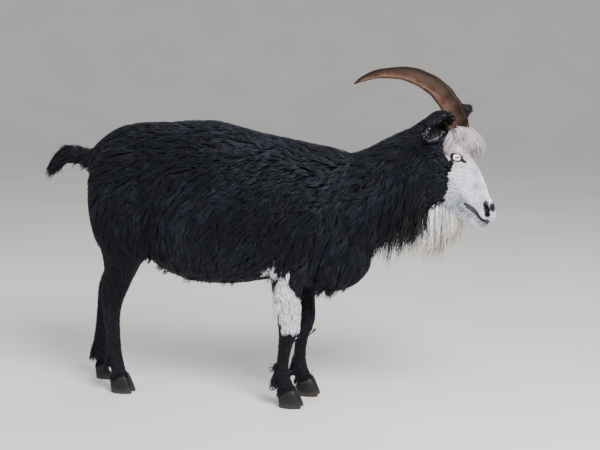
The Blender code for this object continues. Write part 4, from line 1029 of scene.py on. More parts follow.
def tuft_mesh(name, paths, outs, widths, depths, root_colour, tip_colour, homes):
    """One mesh of many tufts. paths holds each tuft's stations, root first and tip last."""
    count, stations, _ = paths.shape
    rings = stations - 1
    along = unit(np.diff(paths, axis=1))
    sideways = unit(np.cross(along, outs[:, :rings]))
    upward = np.cross(sideways, along)
    wide, deep = widths[..., None], depths[..., None]
    ring = np.stack([paths[:, :rings] + sideways * wide + upward * deep * SOLE,
                     paths[:, :rings] - sideways * wide + upward * deep * SOLE,
                     paths[:, :rings] + upward * deep * RIDGE], axis=2)
    places = np.concatenate([ring.reshape(count, -1, 3), paths[:, -1:]], axis=1)
    each = 3 * rings + 1
    # The faces of one tuft: its root, the walls between rings, and its tip
    faces = [[0, 2, 1]]
    for low in range(0, 3 * (rings - 1), 3):
        faces += [[low + k, low + (k + 1) % 3, low + (k + 1) % 3 + 3, low + k + 3] for k in range(3)]
    faces += [[each - 4 + k, each - 4 + (k + 1) % 3, each - 1] for k in range(3)]
    loops = np.concatenate(faces)
    starts = np.cumsum([0] + [len(face) for face in faces[:-1]])
    first = np.arange(count)[:, None]
    mesh = bpy.data.meshes.new(name)
    mesh.vertices.add(count * each)
    mesh.vertices.foreach_set("co", (places + np.array(SHIFT)).ravel().astype(np.float32))
    mesh.loops.add(count * len(loops))
    mesh.loops.foreach_set("vertex_index", (loops + first * each).ravel().astype(np.int32))
    mesh.polygons.add(count * len(starts))
    begin = (starts + first * len(loops)).ravel().astype(np.int32)
    mesh.polygons.foreach_set("loop_start", begin)
    mesh.update(calc_edges=True)
    mesh.shade_smooth()
    share = np.append(np.repeat(np.arange(rings) / rings, 3), 1.0)
    blend = share[None, :, None]
    # Where roots are given darker than tips, this blend paints shade at the base of the coat
    colours = root_colour[:, None, :] * (1 - blend) + tip_colour[:, None, :] * blend
    paint(mesh, "hair", np.concatenate([colours, np.ones((count, each, 1))], axis=2))
    across = np.append(np.tile([0.0, 1.0, 0.5], rings), 0.5)
    length = np.linalg.norm(np.diff(paths, axis=1), axis=2).sum(1)
    own = np.stack([np.broadcast_to(across, (count, each)) + first * 1.7,
                    share * length[:, None] / 0.02], axis=2)
    home = homes[:, None, :] + np.stack([across - 0.5, share - 0.5], 1)[None] * PATCH
    for layer, flat in (("strand", own), ("OFBake", home)):
        uv = mesh.uv_layers.new(name=layer)
        uv.data.foreach_set("uv", flat[:, loops].ravel().astype(np.float32))
    return mesh


MOST_FACES = 190000  # triangles in one piece of coat
coat_total = 0


def show_coat(name, material, slot, paths, outs, widths, depths, root_colour, tip_colour):
    """Shows tufts as one piece, or several where they pass the limit, split from tail to nose."""
    global coat_total
    each = 6 * (paths.shape[1] - 2) + 4
    homes = unwrap(paths[:, 0])
    parts = math.ceil(len(paths) * each / MOST_FACES)
    for i, picked in enumerate(np.array_split(np.argsort(paths[:, 0, 0]), parts)):
        title = name if parts == 1 else f"{name}_{i + 1}"
        mesh = tuft_mesh(title, paths[picked], outs[picked], widths[picked], depths[picked],
                         root_colour[picked], tip_colour[picked], homes[picked])
        mesh.materials.append(material)
        piece = placed(title, mesh)
        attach(piece, "root")
    coat_total += len(paths) * each
    print(name, len(paths), "tufts", len(paths) * each, "triangles in", parts, "pieces")


def show_markings(name, white, *parts):
    """Shows the black tufts of a coat as one piece and the white ones as another."""
    show_coat(name + "_black", *BLACK_COAT, *[part[~white] for part in parts])
    show_coat(name + "_white", *WHITE_COAT, *[part[white] for part in parts])


# %% [markdown]
# Long goat hair hangs in locks: neighbouring hairs share one wave, stick together and end in
# a common tip. So some roots are chosen as leaders. Each leader's path is walked along the
# skin in the lie's direction, swinging from side to side. Every other tuft follows the leader
# nearest to it, drawn in towards it on the way, and is lifted off the skin by the coat's depth.

# %% Growing a coat in locks
LOCK_STRAY = 0.0018  # metres by which tips leave their lock


def along_skin(roots, outs, lengths, steps, wave, swing, rng):
    """Leaders' paths: short steps over the skin along the lie, swinging by wave radians."""
    # Neighbouring locks wave and turn nearly together
    phase = 2.6 * ripple(roots, 0.030) + rng.uniform(-0.8, 0.8, len(roots))
    heading = 0.24 * ripple(roots[:, ::-1], 0.050) + rng.normal(0, swing, len(roots))
    places, facing = roots, outs
    path = [roots]
    for step in range(steps):
        sway = heading + wave * np.sin(phase + step * 2.1)
        way = turned(lie(places, facing), facing, sway)
        places, facing = on_skin(places + way * (lengths / steps)[:, None])
        path.append(places)
    return np.stack(path, 1)


def follow(roots, leaders):
    """The number of the leader nearest to each root."""
    tree = KDTree(len(leaders))
    for i, place in enumerate(leaders.tolist()):
        tree.insert(place, i)
    tree.balance()
    return np.array([tree.find(place)[1] for place in roots.tolist()])


def lock_coat(roots, outs, leader_count, lengths, steps, lift, rng, wave=0.42, swing=0.09,
              pull=0.50, droop=0.0, root_depth=0.0020):
    """Paths for tufts that lie in locks on the skin, and each tuft's way out and lock number."""
    chosen = rng.choice(len(roots), leader_count, replace=False)
    path = along_skin(roots[chosen], outs[chosen], lengths[chosen], steps, wave, swing, rng)
    lock = follow(roots, roots[chosen])
    share = np.linspace(0, 1, steps + 1)
    offset = roots - path[lock, 0]
    stray = rng.normal(0, LOCK_STRAY, (len(roots), 3))
    stations, facings_there = [], []
    stretch = (lengths / lengths[chosen][lock])[:, None]
    for step, u in enumerate(share):
        travelled = (path[lock, step] - path[lock, 0]) * stretch
        place = path[lock, 0] + travelled + offset * (1 - pull * u) + stray * u
        if step == 0:
            place, way = roots, outs
        else:
            place, way = on_skin(place)
        # Steepest at the root, highest past the middle, with the tip laid down again
        rise = -root_depth + (lift + root_depth) * math.sin(2.2 * u)
        stations.append(place + way * rise[:, None] - np.outer(droop * u**2, (0, 0, 1)))
        facings_there.append(way)
    return np.stack(stations, 1), np.stack(facings_there, 1), lock


def tones(lock, rng, low, high, spread=0.12):
    """A brightness for each tuft: its lock's own, a little stray."""
    own = rng.uniform(low, high, lock.max() + 1)[lock]
    return own * rng.normal(1, spread, len(lock)).clip(0.5, 1.6)


# %% [markdown]
# Black hair is never one black. Locks differ from black to brown-black, and blue-grey locks,
# more of them and brighter in large soft clouds, are a painted sheen. Roots are painted darker
# than tips as shade under the coat. The white face has rosy patches, smoky clouds and painted
# shade by the muzzle and under the mouth, and along an edge single tufts of both colours mingle.

# %% Colours of the tufts
def dye(code):
    """A hair's colour in linear light, without its opacity."""
    return np.array(linear(code)[:3])


BLACK = dye("#07080b")
BROWN_BLACK = dye("#120e0d")
# Blue-grey is a painted sheen: the blue-grey shine of glossy black hair
PAINTED_SHEEN_BLUE = dye("#151821")
WHITE = dye("#f3f5fd")
ROSE_WHITE = dye("#e2d6da")
# Grey-rose: the forelock's pink-grey hair, and partly painted shade within the mop
GREY_ROSE_AND_SHADE = dye("#bfb0b3")
IVORY = dye("#e6dcc8")
SMOKE_AND_SHADE = dye("#a3abc0")
DARK_SHADE_GREY = dye("#585d6e")
# Painted shade in patches on the white face, in the head's axes: down, front and radius
FACE_SHADE_PATCHES = [(0.126, -0.037, 0.013), (0.142, -0.050, 0.018), (0.150, 0.009, 0.009),
         (0.180, -0.050, 0.012), (0.196, 0.000, 0.012), (0.113, 0.027, 0.008)]
# Darker painted shade: behind the mouth's corner and on the chin
MOUTH_SHADE_PATCHES = [(0.172, -0.036, 0.012), (0.188, -0.038, 0.011), (0.208, -0.030, 0.008)]
# The lower lip's grey is painted shade under the upper lip
LIP_SHADE = 0.013  # how far the lower lip's grey reaches down from the mouth
CHIN_Z = 0.50  # the face's own shades stay above this height
MIXED = 0.30  # how far black and white tufts mingle along an edge


def patches(places, table):
    """A soft share for spots on the face, given as down, front and radius."""
    down, front, _ = head_axes(places)
    return np.max([np.exp(-((down - a) ** 2 + (front - b) ** 2) / (2 * r * r)) for a, b, r in table],
                  axis=0)


def face_whites(places, rng):
    """The white hair's colour: rosy above the eyes, with smoky clouds, and painted shade in patches and
    darkest under the mouth.
    """
    down = head_axes(places)[0]
    on_face = places[:, 2] > CHIN_Z
    rose = ((1 - fade(down, 0.060, 0.125)) * on_face)[:, None]
    clouds = fade(ripple(places * (1, 1, 0.45), 0.009), 0.1, 1.0)
    own = rng.uniform(0.5, 1.0, len(places))
    # The patches are painted shade, and the clouds a random smoky tone
    smoke_and_shade = (np.clip(patches(places, FACE_SHADE_PATCHES) * 0.9 + clouds * 0.55, 0, 1) * own * on_face)[:, None]
    below = ahead_of_mouth(places) < 0
    # Below the mouth the lower lip is painted grey as shade under the upper lip
    lip = np.exp(-(nearest_gap(places, lower_places) / LIP_SHADE) ** 2) * below
    dark = np.clip(np.maximum(patches(places, MOUTH_SHADE_PATCHES), 1.3 * lip) * own * 1.2, 0, 0.88)[:, None]
    colour = WHITE * (1 - rose) + ROSE_WHITE * rose
    colour = colour * (1 - smoke_and_shade) + SMOKE_AND_SHADE * smoke_and_shade
    return colour * (1 - dark) + DARK_SHADE_GREY * dark


def hair_colours(paths, lock, rng, grey=0.10):
    """Root and tip colours by the markings where a tuft shows, past its middle."""
    places = paths[:, -2:].mean(1)
    edge = rng.uniform(-MIXED, MIXED, len(paths))
    white = (white_share(places, 0.004) + edge > 0.5)[:, None]
    kind = rng.random(lock.max() + 1)[lock][:, None]
    # The cloud paints sheen: black locks turn bluer and brighter in it. grey is the share of
    # painted-sheen blue-grey locks
    cloud = fade(ripple(places, 0.055), 0.0, 1.0)[:, None]
    black = np.where(kind < grey + 0.35 * cloud, PAINTED_SHEEN_BLUE,
                     np.where(kind > 0.90, BROWN_BLACK, BLACK)) * (0.8 + 0.45 * cloud)
    tone = tones(lock, rng, 0.75, 1.25)[:, None]
    pale = face_whites(places, rng) * (0.82 + 0.18 * tone)
    # Roots darker than tips are painted shade, where the coat lies over them
    tip = np.where(white, pale, black * tone * 1.35)
    root = np.where(white, pale * 0.78, black * tone * 0.45)
    return root.clip(0, 1), tip.clip(0, 1), white[:, 0]


def tapered(count, steps, half_width, depth, rng):
    """Half widths and depths along each tuft: widest in its middle, a point at its tip."""
    share = np.linspace(0, 1, steps + 1)[:-1]
    shape = np.interp(share, (0, 0.35, 0.7, 1), (0.75, 1.0, 0.75, 0.2))
    own = rng.uniform(0.75, 1.25, (count, 1))
    return half_width * shape * own, depth * shape * own


# %% [markdown]
# The long coat covers trunk and neck. It is about 5 cm on the back and flanks, 6 cm on the
# neck and longer under the throat and on the chest, where it hangs off the skin.

# %% Long coat of the trunk and neck
rng = np.random.default_rng(SEED)
head_share, neck_share, tail_share, legs_share = regions(middles)
long_coat = np.clip(1 - head_share - tail_share - legs_share, 0, 1)
LONG_TUFTS = 32000
LONG_STEPS = 4
roots, outs = scatter(LONG_TUFTS, long_coat * (1 + 0.3 * neck_share), rng)
x, _, z = roots.T
on_neck = regions(roots)[1]
chest = fade(x, 0.13, 0.20) * fade(-outs[:, 2], -0.2, 0.5)
belly = fade(-outs[:, 2], 0.3, 0.8) * (1 - on_neck) * (1 - chest)
near_leg = np.max([fade(0.50 - z, 0, 0.10) * leg_share(roots, *leg) for leg in FOOT_SHIFT], axis=0)
lengths = 0.052 + 0.008 * on_neck + 0.012 * chest - 0.012 * belly - 0.020 * near_leg
lengths *= rng.uniform(0.75, 1.15, len(roots))
lift = rng.uniform(0.0080, 0.0112, len(roots))
paths, ways, lock = lock_coat(roots, outs, LONG_TUFTS // 8, lengths, LONG_STEPS, lift, rng,
                              droop=0.010 * np.maximum(chest, belly * 0.5))
root_colour, tip_colour, _ = hair_colours(paths, lock, rng)
wide, deep = tapered(len(roots), LONG_STEPS, 0.0014, 0.0007, rng)
show_coat("long_coat", *BLACK_COAT, paths, ways, wide, deep, root_colour, tip_colour)

# %% [markdown]
# The legs have short, dense hair that lies down them, about 10 mm long below the knee and
# longer above it, up to 36 mm where a leg meets the body.

# %% Short coat of the legs
SHORT_TUFTS = 20000
SHORT_STEPS = 2
roots, outs = scatter(SHORT_TUFTS, legs_share, rng)
z = roots[:, 2]
lengths = np.interp(z, (0.03, 0.06, 0.20, 0.32, 0.45), (0.012, 0.010, 0.012, 0.020, 0.036))
patch = white_share(roots, 0.020) * (z > 0.2)
lengths = lengths * (1 + 0.9 * patch) * rng.uniform(0.8, 1.2, len(roots))
lift = np.interp(z, (0.03, 0.20, 0.40), (0.0010, 0.0014, 0.0055)) * (1 + 1.2 * patch)
lift = lift * rng.uniform(0.8, 1.2, len(roots))
paths, ways, lock = lock_coat(roots, outs, SHORT_TUFTS // 6, lengths, SHORT_STEPS, lift, rng,
                              wave=0.2, swing=0.15, pull=0.4, root_depth=0.0012)
root_colour, tip_colour, white = hair_colours(paths, lock, rng, grey=0.05)
wide, deep = tapered(len(roots), SHORT_STEPS, 0.0010, 0.0004, rng)
show_markings("leg_coat", white, paths, ways, wide, deep, root_colour, tip_colour)

# %% [markdown]
# The face has the shortest hair, 5 mm at the nose and 11 mm beside the eyes, growing upwards
# from the muzzle. It gets longer towards the jaw, the cheeks' black part and the forehead.

# %% Short coat of the face
FACE_TUFTS = 21000
FACE_STEPS = 2
hairy = 1 - bare_share(middles)
finer = 1 + 1.2 * fade(head_axes(middles)[0], 0.02, 0.08)
roots, outs = scatter(FACE_TUFTS, head_share * np.maximum(hairy, 0.3) * finer, rng)
keep = (bare_share(roots) < 0.85) & (eye_gap(roots) > 0.0034)
roots, outs = roots[keep], outs[keep]
down, front, _ = head_axes(roots)
lengths = np.interp(down, (-0.02, 0.04, 0.09, 0.16, 0.24), (0.034, 0.018, 0.011, 0.008, 0.005))
back = fade(-front, 0.035, 0.085)
lengths = lengths + 0.016 * back * (1 - fade(down, 0.12, 0.2))
white_there = white_share(roots)
lengths = lengths * (1 + 0.6 * (1 - white_there)) * rng.uniform(0.8, 1.2, len(roots))
lift = (0.0016 + 0.10 * lengths) * rng.uniform(0.6, 1.4, len(roots))
paths, ways, lock = lock_coat(roots, outs, FACE_TUFTS // 6, lengths, FACE_STEPS, lift, rng,
                              wave=0.2, swing=0.15, pull=0.35, root_depth=0.0008)
# No tuft is left lying across a lip, a nostril or an eye
clear = np.max([bare_share(paths[:, k]) for k in (1, 2)], axis=0) < 0.5
clear &= np.min([eye_gap(paths[:, k]) for k in (1, 2)], axis=0) > 0.0024
paths, ways, lock, roots, lengths = (a[clear] for a in (paths, ways, lock, roots, lengths))
root_colour, tip_colour, white = hair_colours(paths, lock, rng, grey=0.04)
wide, deep = tapered(len(roots), FACE_STEPS, 1.0, 1.0, rng)
fine = (0.0006 + 0.035 * lengths)[:, None]
show_markings("face_coat", white, paths, ways, wide * fine, deep * fine * 0.7, root_colour,
              tip_colour)

# %% [markdown]
# Beard, forelock, tail tuft and the fringes hang free, so the skin doesn't guide them. Each
# is made of clumps: a clump has one curve in the air, given by three pulls away from its
# root, and its strands start spread over the root, share the curve, wave a little on their
# own, and gather towards the tip.

# %% Hanging hair
def hanging(clumps, per_clump, steps, rng, spread, gather=0.6, stray=0.004, wave=0.003):
    """Strand paths for clumps. A clump is (root, end of each third of its curve, length spread)."""
    paths = []
    for root, thirds in clumps:
        points = np.array([root, *thirds], float)
        line = smooth_rows(points, 8)
        travel = np.append(0, np.cumsum(np.linalg.norm(np.diff(line, axis=0), axis=1)))
        travel /= travel[-1]
        for _ in range(per_clump):
            reach = rng.uniform(0.72, 1.05)
            share = np.linspace(0, 1, steps + 1)
            at = np.minimum(share * reach, 1)
            place = np.stack([np.interp(at, travel, line[:, k]) for k in range(3)], 1)
            off = rng.normal(0, 1, 3).clip(-1.6, 1.6) * spread
            flick = rng.normal(0, stray, 3)
            sway = rng.normal(0, wave, 3)
            phase = rng.uniform(0, 6.28)
            place = place + np.outer(1 - gather * share, off) + np.outer(share**2, flick)
            place += np.outer(np.sin(phase + share * 7.5) * share, sway)
            paths.append(place)
    return np.array(paths)


def show_strands(name, material, slot, paths, half_width, root, tip, rng, tone=0.18):
    """Shows hanging strands, each turned its own way about its length."""
    count, stations, _ = paths.shape
    along = unit(np.diff(paths, axis=1))
    along = np.concatenate([along, along[:, -1:]], axis=1)
    pick = rng.normal(0, 1, (count, 1, 3)) + np.array((0.3, -0.5, 0.2))
    outs = unit(pick - along * np.sum(pick * along, axis=2, keepdims=True))
    share = np.linspace(0, 1, stations)[:-1]
    shape = np.interp(share, (0, 0.3, 0.75, 1), (0.8, 1.0, 0.75, 0.25))
    widths = half_width * shape * rng.uniform(0.7, 1.3, (count, 1))
    shade = rng.normal(1, tone, (count, 1)).clip(0.5, 1.5)
    # A root given darker than its tip paints shade at the clump's base
    root_colour = np.clip(np.broadcast_to(root, (count, 3)) * shade, 0, 1)
    tip_colour = np.clip(np.broadcast_to(tip, (count, 3)) * shade, 0, 1)
    show_coat(name, material, slot, paths, outs, widths, widths * 0.8, root_colour, tip_colour)


# %% [markdown]
# The beard grows from the jaw and throat as 28 clumps in six rows. Their roots are white, their
# tips ivory, the front ones bow forward before they fall, and the rear ones flick back.

# %% Beard
BEARD_ROOTS = [(0.488, 0.006, 3), (0.476, 0.012, 5), (0.462, 0.017, 6), (0.448, 0.017, 6),
               (0.434, 0.014, 5), (0.420, 0.009, 3)]
BEARD_TOP = 0.545
BEARD_LENGTH = 0.148
clumps = []
for row, (x, spread, count) in enumerate(BEARD_ROOTS):
    for k in range(count):
        y = spread * (2 * (k + 0.5) / count - 1)
        long = BEARD_LENGTH * rng.uniform(0.78, 1.08) * (1 - 0.10 * abs(row - 2.5))
        bow = 0.016 - 0.004 * row + rng.normal(0, 0.004)
        drift = 0.004 - 0.009 * row + rng.normal(0, 0.008)
        root = (x, y, BEARD_TOP + 0.030 * (x - 0.44) / 0.04)
        clumps.append((root, [(x + bow, y * 1.2, root[2] - long * 0.34),
                              (x + bow * 0.7, y * 0.9, root[2] - long * 0.68),
                              (x + drift, y * 0.5, root[2] - long)]))
paths = hanging(clumps, 50, 6, rng, (0.0065, 0.0048, 0.003), gather=0.68, stray=0.007, wave=0.0042)
shade = (rng.random(len(clumps)) ** 2).repeat(len(paths) // len(clumps))[:, None]
show_strands("beard", *BEARD_COAT, paths, 0.0009, WHITE * (1 - 0.45 * shade),
             IVORY * (1 - 0.40 * shade), rng, tone=0.20)

# %% [markdown]
# The forehead wears a thick mop that springs from between the horns and round their bases. In
# front it puffs out and falls like a fringe, past the eyes it hangs straight, and over the
# brows it sweeps back. It's grey-rose with white streaks below the horns, and its grey-rose
# strands are partly its pink-grey hair and partly painted shade within the mop. Each part is
# one row below: where its roots are and the three ends of its curve, all in the head's axes.

# %% Forelock and brows
def mop(count, root, thirds, spread, rng, sides):
    """Clumps from one row of places, strewn by a spread and mirrored for each side."""
    made = []
    for sign in sides:
        for _ in range(count):
            off = rng.uniform(-1, 1, 3) * spread
            scale = rng.uniform(0.68, 1.12)
            places = [off * (0.6, 0.6, 1) + root]
            for end in thirds:
                places.append(places[0] + (np.array(end) - root) * scale)
            made.append([np.array(head_point(d, f, s * sign)) for d, f, s in places])
    return [(line[0], line[1:]) for line in made]


# Clumps on a side, strands in each, the root, the ends of the thirds, the spread of the roots
FORELOCK = {
    "fringe": (34, 52, (0.008, 0.026, 0.0), [(0.022, 0.044, 0.0), (0.050, 0.056, 0.0),
                                             (0.078, 0.045, 0.0)], (0.014, 0.008, 0.023)),
    "temple": (9, 46, (0.014, 0.028, 0.027), [(0.024, 0.037, 0.034), (0.040, 0.036, 0.039),
                                              (0.058, 0.029, 0.038)], (0.010, 0.009, 0.008)),
    "brow": (16, 38, (0.010, 0.016, 0.036), [(0.012, 0.014, 0.048), (0.022, 0.000, 0.052),
                                             (0.040, -0.016, 0.048)], (0.014, 0.011, 0.006)),
    "streak": (5, 36, (0.004, 0.032, 0.026), [(0.020, 0.043, 0.030), (0.042, 0.047, 0.031),
                                              (0.064, 0.040, 0.028)], (0.004, 0.003, 0.004)),
    "horn_foot": (12, 30, (0.006, 0.020, 0.034), [(0.004, 0.028, 0.046), (0.014, 0.030, 0.050),
                                                  (0.030, 0.024, 0.049)], (0.012, 0.018, 0.009)),
}
for name, (count, strands, root, thirds, spread) in FORELOCK.items():
    # The fringe lies across the middle, and the other parts are made once for each side
    sides = (1,) if name == "fringe" else (-1, 1)
    clumps = mop(count, np.array(root), thirds, np.array(spread), rng, sides)
    paths = hanging(clumps, strands, 4, rng, (0.006, 0.006, 0.005), gather=0.25, stray=0.005,
                    wave=0.0025)
    whiteness = {"fringe": 0.30, "streak": 1.0}.get(name, 0.65)
    white = rng.random((len(paths), 1)) < whiteness
    # Grey-rose strands are partly painted shade within the mop
    tip = np.where(white, ROSE_WHITE, GREY_ROSE_AND_SHADE)
    show_strands("forelock_" + name, *WHITE_COAT, paths, 0.00065, tip * 0.65, tip, rng, tone=0.12)

# %% [markdown]
# The tail is short and carried up, with a tuft of long hair that spreads round its tip and
# droops. Its hair starts all along the tail.

# %% Tail
clumps = []
tail_line = smooth_rows([(x, 0, z) for x, z, _, _ in TAIL], 6)
for k in range(44):
    u = rng.uniform(0.02, 0.98)
    i = int(u * (len(tail_line) - 1))
    base = tail_line[i]
    ahead_of = unit(tail_line[min(i + 1, len(tail_line) - 1)] - tail_line[max(i - 1, 0)])
    turn = rng.uniform(0, 2 * math.pi)
    round_it = np.array((0, math.cos(turn), math.sin(turn)))
    radius = np.interp(u, (0, 0.5, 1), (0.024, 0.013, 0.004))
    long = np.interp(u, (0, 0.5, 1), (0.040, 0.048, 0.044)) * rng.uniform(0.8, 1.1)
    root = base + round_it * radius * 0.7
    flare = round_it * np.array((1, 1, 0.8)) * (0.010 + 0.006 * u)
    drop = np.array((0, 0, -1.0)) * (0.010 + 0.010 * u)
    clumps.append((root, [root + ahead_of * long * 0.34 + flare * 0.7,
                          root + ahead_of * long * 0.68 + flare + drop * 0.3,
                          root + ahead_of * long + flare * 0.6 + drop]))
paths = hanging(clumps, 40, 4, rng, (0.006, 0.005, 0.005), gather=0.5, stray=0.005, wave=0.002)
show_strands("tail_tuft", *BLACK_COAT, paths, 0.0012, BLACK * 0.6, BLACK * 1.4, rng, tone=0.3)

# %% [markdown]
# Sparse brown-black hair hangs from the throat and the underside of the neck, and a fringe
# of longer hair from the elbows, the chest and the belly's edge.

# %% Throat, chest and belly fringes
def fringe(count, xs, ys, below, length, back, spread, rng):
    """Clumps hung from the skin that is met from some height below it, drifting back."""
    made = []
    for _ in range(count):
        x, y = rng.uniform(*xs), rng.uniform(*ys)
        hit = skin_surface.ray_cast(Vector((x, y, below)), Vector((0, 0, 1)))[0]
        if hit is None:
            continue
        root = np.array(hit) + np.array((0, 0, 0.003))
        long = length * rng.uniform(0.5, 1.1)
        drift = -back * long * rng.uniform(0.6, 1.3)
        made.append((root, [root + (drift * 0.3, rng.normal(0, spread), -long * 0.36),
                            root + (drift * 0.6, rng.normal(0, spread), -long * 0.70),
                            root + (drift, rng.normal(0, spread), -long)]))
    return made


throat = fringe(42, (0.330, 0.424), (-0.034, 0.034), 0.30, 0.105, 0.16, 0.006, rng)
throat += fringe(16, (0.275, 0.335), (-0.026, 0.026), 0.30, 0.060, 0.30, 0.003, rng)
paths = hanging(throat, 16, 5, rng, (0.007, 0.005, 0.003), gather=0.6, stray=0.008, wave=0.005)
show_strands("throat_fringe", *BLACK_COAT, paths, 0.0009, BROWN_BLACK, BROWN_BLACK * 2.4, rng,
             tone=0.3)
chest_clumps = fringe(34, (0.11, 0.22), (-0.07, 0.07), 0.10, 0.044, 0.35, 0.003, rng)
belly_clumps = fringe(90, (-0.34, 0.10), (-0.095, 0.095), 0.05, 0.024, 1.1, 0.003, rng)
paths = hanging(chest_clumps + belly_clumps, 14, 4, rng, (0.010, 0.008, 0.003), gather=0.5,
                stray=0.005, wave=0.002)
white = white_share(paths[:, 0]) > 0.5
show_strands("belly_fringe", *BLACK_COAT, paths[~white], 0.0014, BLACK * 0.7, BLACK * 1.4, rng,
             tone=0.3)
show_strands("belly_fringe_white", *WHITE_COAT, paths[white], 0.0014, WHITE * 0.8, WHITE, rng)

# %% [markdown]
# Below the knees and hocks longer hair feathers the back of each leg. It hangs over the
# dewclaws, and a short fringe falls over the top of every hoof. A loose white tuft hangs
# behind the near elbow.

# %% Feathers of the legs
FEATHERS, CORONET = 16, 20  # clumps on each leg
FEATHER_TOP, FEATHER_BOTTOM = 0.110, 0.066  # heights
CORONET_Z = 0.050
OUTSIDE = 0.09  # how far off a leg's middle is well outside it


def falling(kind, side, z, way, curve):
    """A clump from a leg's skin, met from outside along a level way. The curve is out and down."""
    x, y, _ = leg_at(kind, side, z)
    hit = skin_surface.ray_cast(Vector((x, y, z)) + way * OUTSIDE, -way)[0]
    root = np.array(hit - way * 0.002)
    return root, [root + np.array(way) * out - (0, 0, fall) for out, fall in curve]


clumps, tops = [], []
for kind, side in FOOT_SHIFT:
    for k in range(FEATHERS):
        z = FEATHER_TOP - (FEATHER_TOP - FEATHER_BOTTOM) * (k + rng.random()) / FEATHERS
        turn = rng.uniform(-0.75, 0.75)
        way = Vector((-math.cos(turn), math.sin(turn), 0))
        reach = np.interp(z, (0.07, 0.11), (0.018, 0.005)) * rng.uniform(0.7, 1.1)
        drop = rng.uniform(0.024, 0.034)
        clumps.append(falling(kind, side, z, way, [
            (reach * 0.55, drop * 0.30), (reach * 0.9, drop * 0.65), (reach, drop)]))
    for k in range(CORONET):
        turn = 2 * math.pi * (k + rng.random()) / CORONET
        way = Vector((math.cos(turn), math.sin(turn), 0))
        drop = rng.uniform(0.017, 0.026)
        z = CORONET_Z + 0.004 * math.cos(turn) + rng.uniform(-0.003, 0.003)
        tops.append(falling(kind, side, z, way, [
            (0.0040, drop * 0.35), (0.0060, drop * 0.7), (0.0065, drop)]))
elbow = []
for k in range(11):
    root = np.array((0.054, -0.080, 0.350 - 0.005 * k)) + rng.normal(0, 0.004, 3)
    elbow.append((root, [root + (-0.008, -0.005, -0.018), root + (-0.015, -0.005, -0.038),
                         root + (-0.020, -0.002, -0.058)]))
for name, made, strands, steps, spread in (("leg_feathers", clumps, 18, 3, 0.0035),
                                           ("coronet_fringe", tops, 16, 2, 0.0030)):
    paths = hanging(made, strands, steps, rng, (spread, spread, spread), gather=0.5, stray=0.002,
                    wave=0.001)
    show_strands(name, *BLACK_COAT, paths, 0.0007, BLACK * 0.6, BLACK * 1.3, rng, tone=0.3)
paths = hanging(elbow, 16, 3, rng, (0.006, 0.003, 0.006), gather=0.6, stray=0.004, wave=0.002)
show_strands("elbow_tuft_white", *WHITE_COAT, paths, 0.0011, WHITE * 0.6, WHITE, rng)

# %% [markdown]
# The skin itself is shown now. It replaces every flesh node of the frame, so no seam shows
# between them, and its black and pink-grey hide lies under the tufts.

# %% Show the skin
def show(obj, material, slot, *nodes):
    obj.data.transform(Matrix.Translation(SHIFT))
    obj.data.shade_smooth()
    obj.data.materials.clear()
    obj.data.materials.append(material)
    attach(obj, "root")
    if nodes:
        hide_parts(*nodes)


skin.vertex_groups.clear()
show(skin, HIDE, "black_coat", "torso", "neck", "head", "tail", "foreleg_right",
     "foreleg_left", "hindleg_right", "hindleg_left")

# %% [markdown]
# The horns are scimitars, each a loft along one smooth curve. The section is an egg, narrower
# in front where the keel runs. Growth rings are small swellings of the section, one for each
# season and closer together at the base, and finer ripples lie between them.

# %% Horns
HORN = [  # x, distance from the middle, z, half depth as a share of the base's
    (0.497, 0.024, 0.712, 1.00), (0.490, 0.028, 0.750, 1.00), (0.472, 0.034, 0.802, 0.88),
    (0.430, 0.043, 0.851, 0.76), (0.366, 0.054, 0.881, 0.62), (0.303, 0.062, 0.883, 0.46),
    (0.262, 0.067, 0.871, 0.28), (0.238, 0.070, 0.858, 0.05),
]
HORN_HALF_DEPTH = 0.0245
HORN_FLATNESS = 0.66  # width over depth
HORN_STATIONS = 22  # between two rows of the table
RING_HEIGHT = 0.0011
RING_COUNT = 11
TIP_RISE = {"right": 0.0, "left": 0.008}  # the left horn droops less at its tip
RIPPLE_HEIGHT = 0.00022
RIPPLE_COUNT = 74
KEEL = 0.10  # how far the front is drawn out, as a share of the half depth


def horn(side):
    """One horn, with its rings, its keel and the attributes that its colours follow."""
    sign = SIDES[side]
    coarse = [(x, sign * out, z + TIP_RISE[side] * (i / (len(HORN) - 1)) ** 3,
               HORN_HALF_DEPTH * share, HORN_HALF_DEPTH * share * HORN_FLATNESS)
              for i, (x, out, z, share) in enumerate(HORN)]
    rows = smooth_rows(coarse, HORN_STATIONS)
    along = np.linspace(0, 1, len(rows))
    seasons = np.cos(along * 2 * math.pi * RING_COUNT) * RING_HEIGHT
    seasons += np.cos(along**0.9 * 2 * math.pi * RIPPLE_COUNT) * RIPPLE_HEIGHT
    rows[:, 3:] += (seasons * np.clip(1 - along * 1.3, 0, 1))[:, None]
    bm = bmesh.new()
    layers = {name: bm.verts.layers.float.new(name) for name in ("along", "under", "around")}
    rings = loft(bm, rows, sides=44, steps=1, egg=-0.30)
    for i, (verts, across) in enumerate(rings):
        middle, depth = Vector(rows[i][:3]), rows[i][3]
        for k, vert in enumerate(verts):
            height = (vert.co - middle).dot(across) / max(depth, 1e-5)
            vert[layers["along"]] = along[i]
            vert[layers["under"]] = 0.5 + 0.5 * height
            vert[layers["around"]] = abs(2 * k / len(verts) - 1)
            # The keel: the front is drawn out to a blunt edge
            vert.co -= across * depth * KEEL * max(0.0, -height) ** 6
    bmesh.ops.recalc_face_normals(bm, faces=bm.faces)
    return mesh_object("horn_keratin_" + side, bm)


for side in SIDES:
    piece = horn(side)
    show(piece, HORN_KERATIN, "horn", "horn_" + side)
    print("horn", side, len(piece.data.polygons), "faces")

